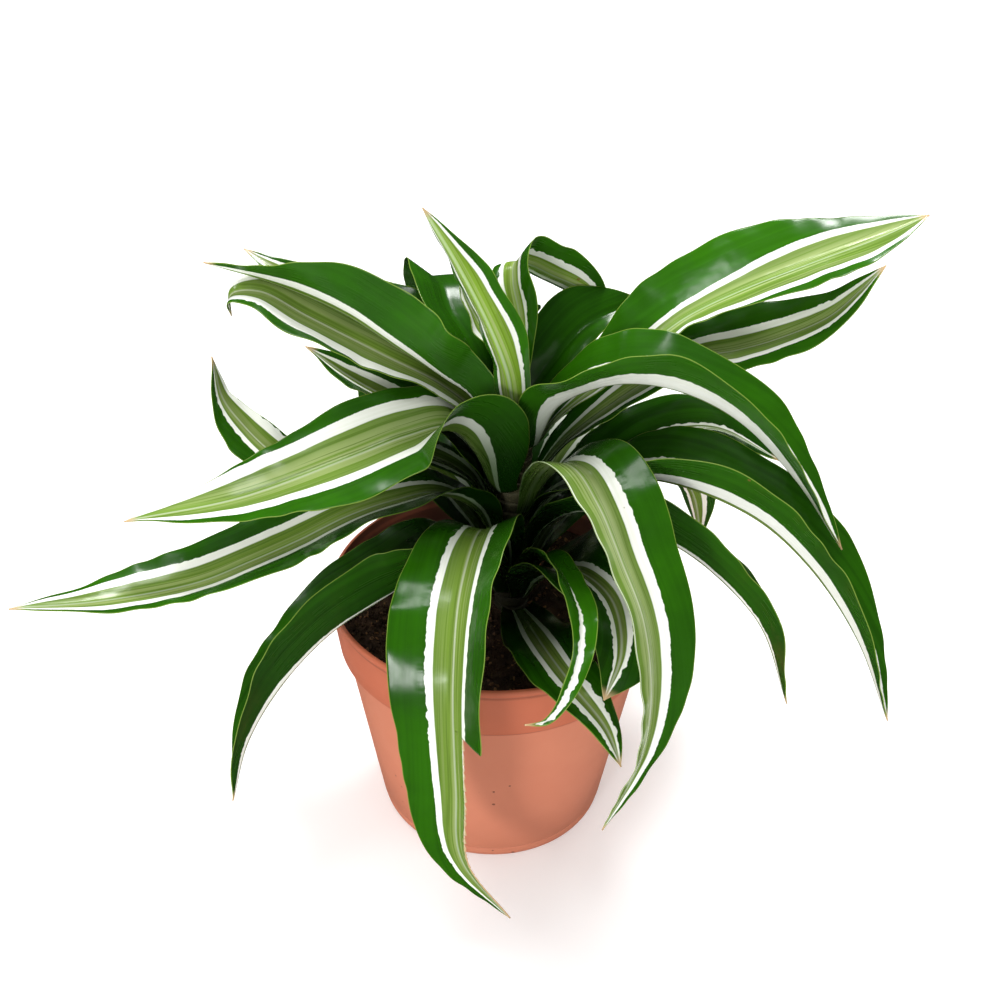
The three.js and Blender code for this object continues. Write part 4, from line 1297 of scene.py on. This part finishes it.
class DRACAENA_OT_middle(bpy.types.Operator):
    """Shape the middle whorl of blades"""
    bl_idname = "dracaena.middle"
    bl_label = "Middle whorl"

    def execute(self, context):
        make_whorl(context, "middle")
        return {"FINISHED"}


class DRACAENA_OT_lower(bpy.types.Operator):
    """Shape the lower whorl of blades"""
    bl_idname = "dracaena.lower"
    bl_label = "Lower whorl"

    def execute(self, context):
        make_whorl(context, "lower")
        return {"FINISHED"}


# Every softbox: the setting that holds its power, how wide it is, and its place
SOFTBOXES = {
    "key_light": ("key_power", 0.34, (0.15, 0.65, 1.25)),
    "fill_light": ("fill_power", 0.26, (-0.50, -1.12, 0.42)),
    "glint_above": ("glint_power", 0.20, (-0.22, -0.14, 1.15)),
    "glint_behind": ("glint_power", 0.22, (-0.80, 0.57, 0.95)),
}
PLANT_MIDDLE = Vector((0.0, 0.0, 0.12))


def add_light(scene, name, kind, strength):
    light = bpy.data.lights.new(name, kind)
    light.energy = strength
    made = bpy.data.objects.new(name, light)
    scene.collection.objects.link(made)
    return made, light


def add_lights(scene, size):
    """Round softboxes that face the plant, and one wide light from above that gloss doesn't show"""
    for name, (setting, width, place) in SOFTBOXES.items():
        box, light = add_light(scene, name, "AREA", getattr(size, setting))
        light.shape, light.size = "DISK", width
        box.location = place
        box.rotation_euler = (PLANT_MIDDLE - Vector(place)).to_track_quat("-Z", "Y").to_euler()
    above, sun = add_light(scene, "even_light", "SUN", size.even_strength)
    sun.angle = size.even_spread
    above.rotation_euler = (math.radians(-12), math.radians(-10), 0.0)
    above.visible_glossy = False


def add_world(scene, size):
    """White all round: full for the camera, weaker as light, and weaker still in gloss"""
    world = bpy.data.worlds.new("even_room_light")
    world.use_nodes = True
    back = next(node for node in world.node_tree.nodes if node.type == "BACKGROUND")
    ray = add("ShaderNodeLightPath", {}, world.node_tree)
    dimmed = 1.0 - ray["Is Glossy Ray"] * (1.0 - size.sky_mirrored)
    even = calc("MULTIPLY_ADD", ray["Is Camera Ray"], 1.0 - size.sky, size.sky)
    put((1.0, 1.0, 1.0), back.inputs["Color"])
    put(even * dimmed, back.inputs["Strength"])
    scene.world = world


def add_camera(scene, size):
    lens = bpy.data.cameras.new("camera")
    lens.lens = size.lens
    lens.sensor_width = 36.0
    lens.clip_start, lens.clip_end = 0.01, 50.0
    camera = bpy.data.objects.new("camera", lens)
    turn = (Matrix.Rotation(math.pi / 2 - size.camera_dip, 4, "X")
            @ Matrix.Rotation(size.camera_roll, 4, "Z"))
    camera.matrix_world = Matrix.Translation(size.camera_place) @ turn
    scene.collection.objects.link(camera)
    scene.camera = camera


class DRACAENA_OT_stage(bpy.types.Operator):
    """Set the floor, the lights and the camera"""
    bl_idname = "dracaena.stage"
    bl_label = "Stage"

    def execute(self, context):
        scene, size = context.scene, context.scene.dracaena_stage
        half = size.floor_size / 2
        corners = [(-half, -half, 0), (half, -half, 0), (half, half, 0), (-half, half, 0)]
        floor = add_object("studio_floor", mesh_from("studio_floor", corners, [(0, 1, 2, 3)]),
                           bpy.data.materials["studio_paper"])
        floor.visible_glossy = False
        add_lights(scene, size)
        add_world(scene, size)
        scene.view_settings.view_transform = "Standard"
        scene.view_settings.look = "None"
        add_camera(scene, size)
        return {"FINISHED"}


OPERATORS = (
    DRACAENA_OT_finishes, DRACAENA_OT_pot, DRACAENA_OT_soil, DRACAENA_OT_cane, DRACAENA_OT_heart,
    DRACAENA_OT_upper, DRACAENA_OT_middle, DRACAENA_OT_lower, DRACAENA_OT_stage,
)
SETTINGS = {
    "dracaena_pot": DracaenaPotSizes, "dracaena_soil": DracaenaSoilSizes,
    "dracaena_plant": DracaenaPlantSizes, "dracaena_colours": DracaenaColours,
    "dracaena_stage": DracaenaStageSizes,
}


class DRACAENA_PT_panel(bpy.types.Panel):
    """Sizes, colours and steps of the potted dracaena"""
    bl_label = "Potted Dracaena"
    bl_idname = "DRACAENA_PT_panel"
    bl_space_type = "VIEW_3D"
    bl_region_type = "UI"
    bl_category = "Dracaena"

    def draw(self, context):
        for step in OPERATORS:
            self.layout.operator(step.bl_idname)
        for name, group in SETTINGS.items():
            box = self.layout.box()
            box.label(text=group.__doc__)
            for key in group.__annotations__:
                box.prop(getattr(context.scene, name), key)


def register():
    for group in SETTINGS.values():
        bpy.utils.register_class(group)
    for name, group in SETTINGS.items():
        setattr(bpy.types.Scene, name, PointerProperty(type=group))
    for step in (*OPERATORS, DRACAENA_PT_panel):
        bpy.utils.register_class(step)


def unregister():
    for step in reversed((*OPERATORS, DRACAENA_PT_panel)):
        bpy.utils.unregister_class(step)
    for name, group in SETTINGS.items():
        delattr(bpy.types.Scene, name)
        bpy.utils.unregister_class(group)


def main():
    register()
    for step in OPERATORS:
        family, name = step.bl_idname.split(".")
        getattr(getattr(bpy.ops, family), name)()


if __name__ == "__main__":
    main()
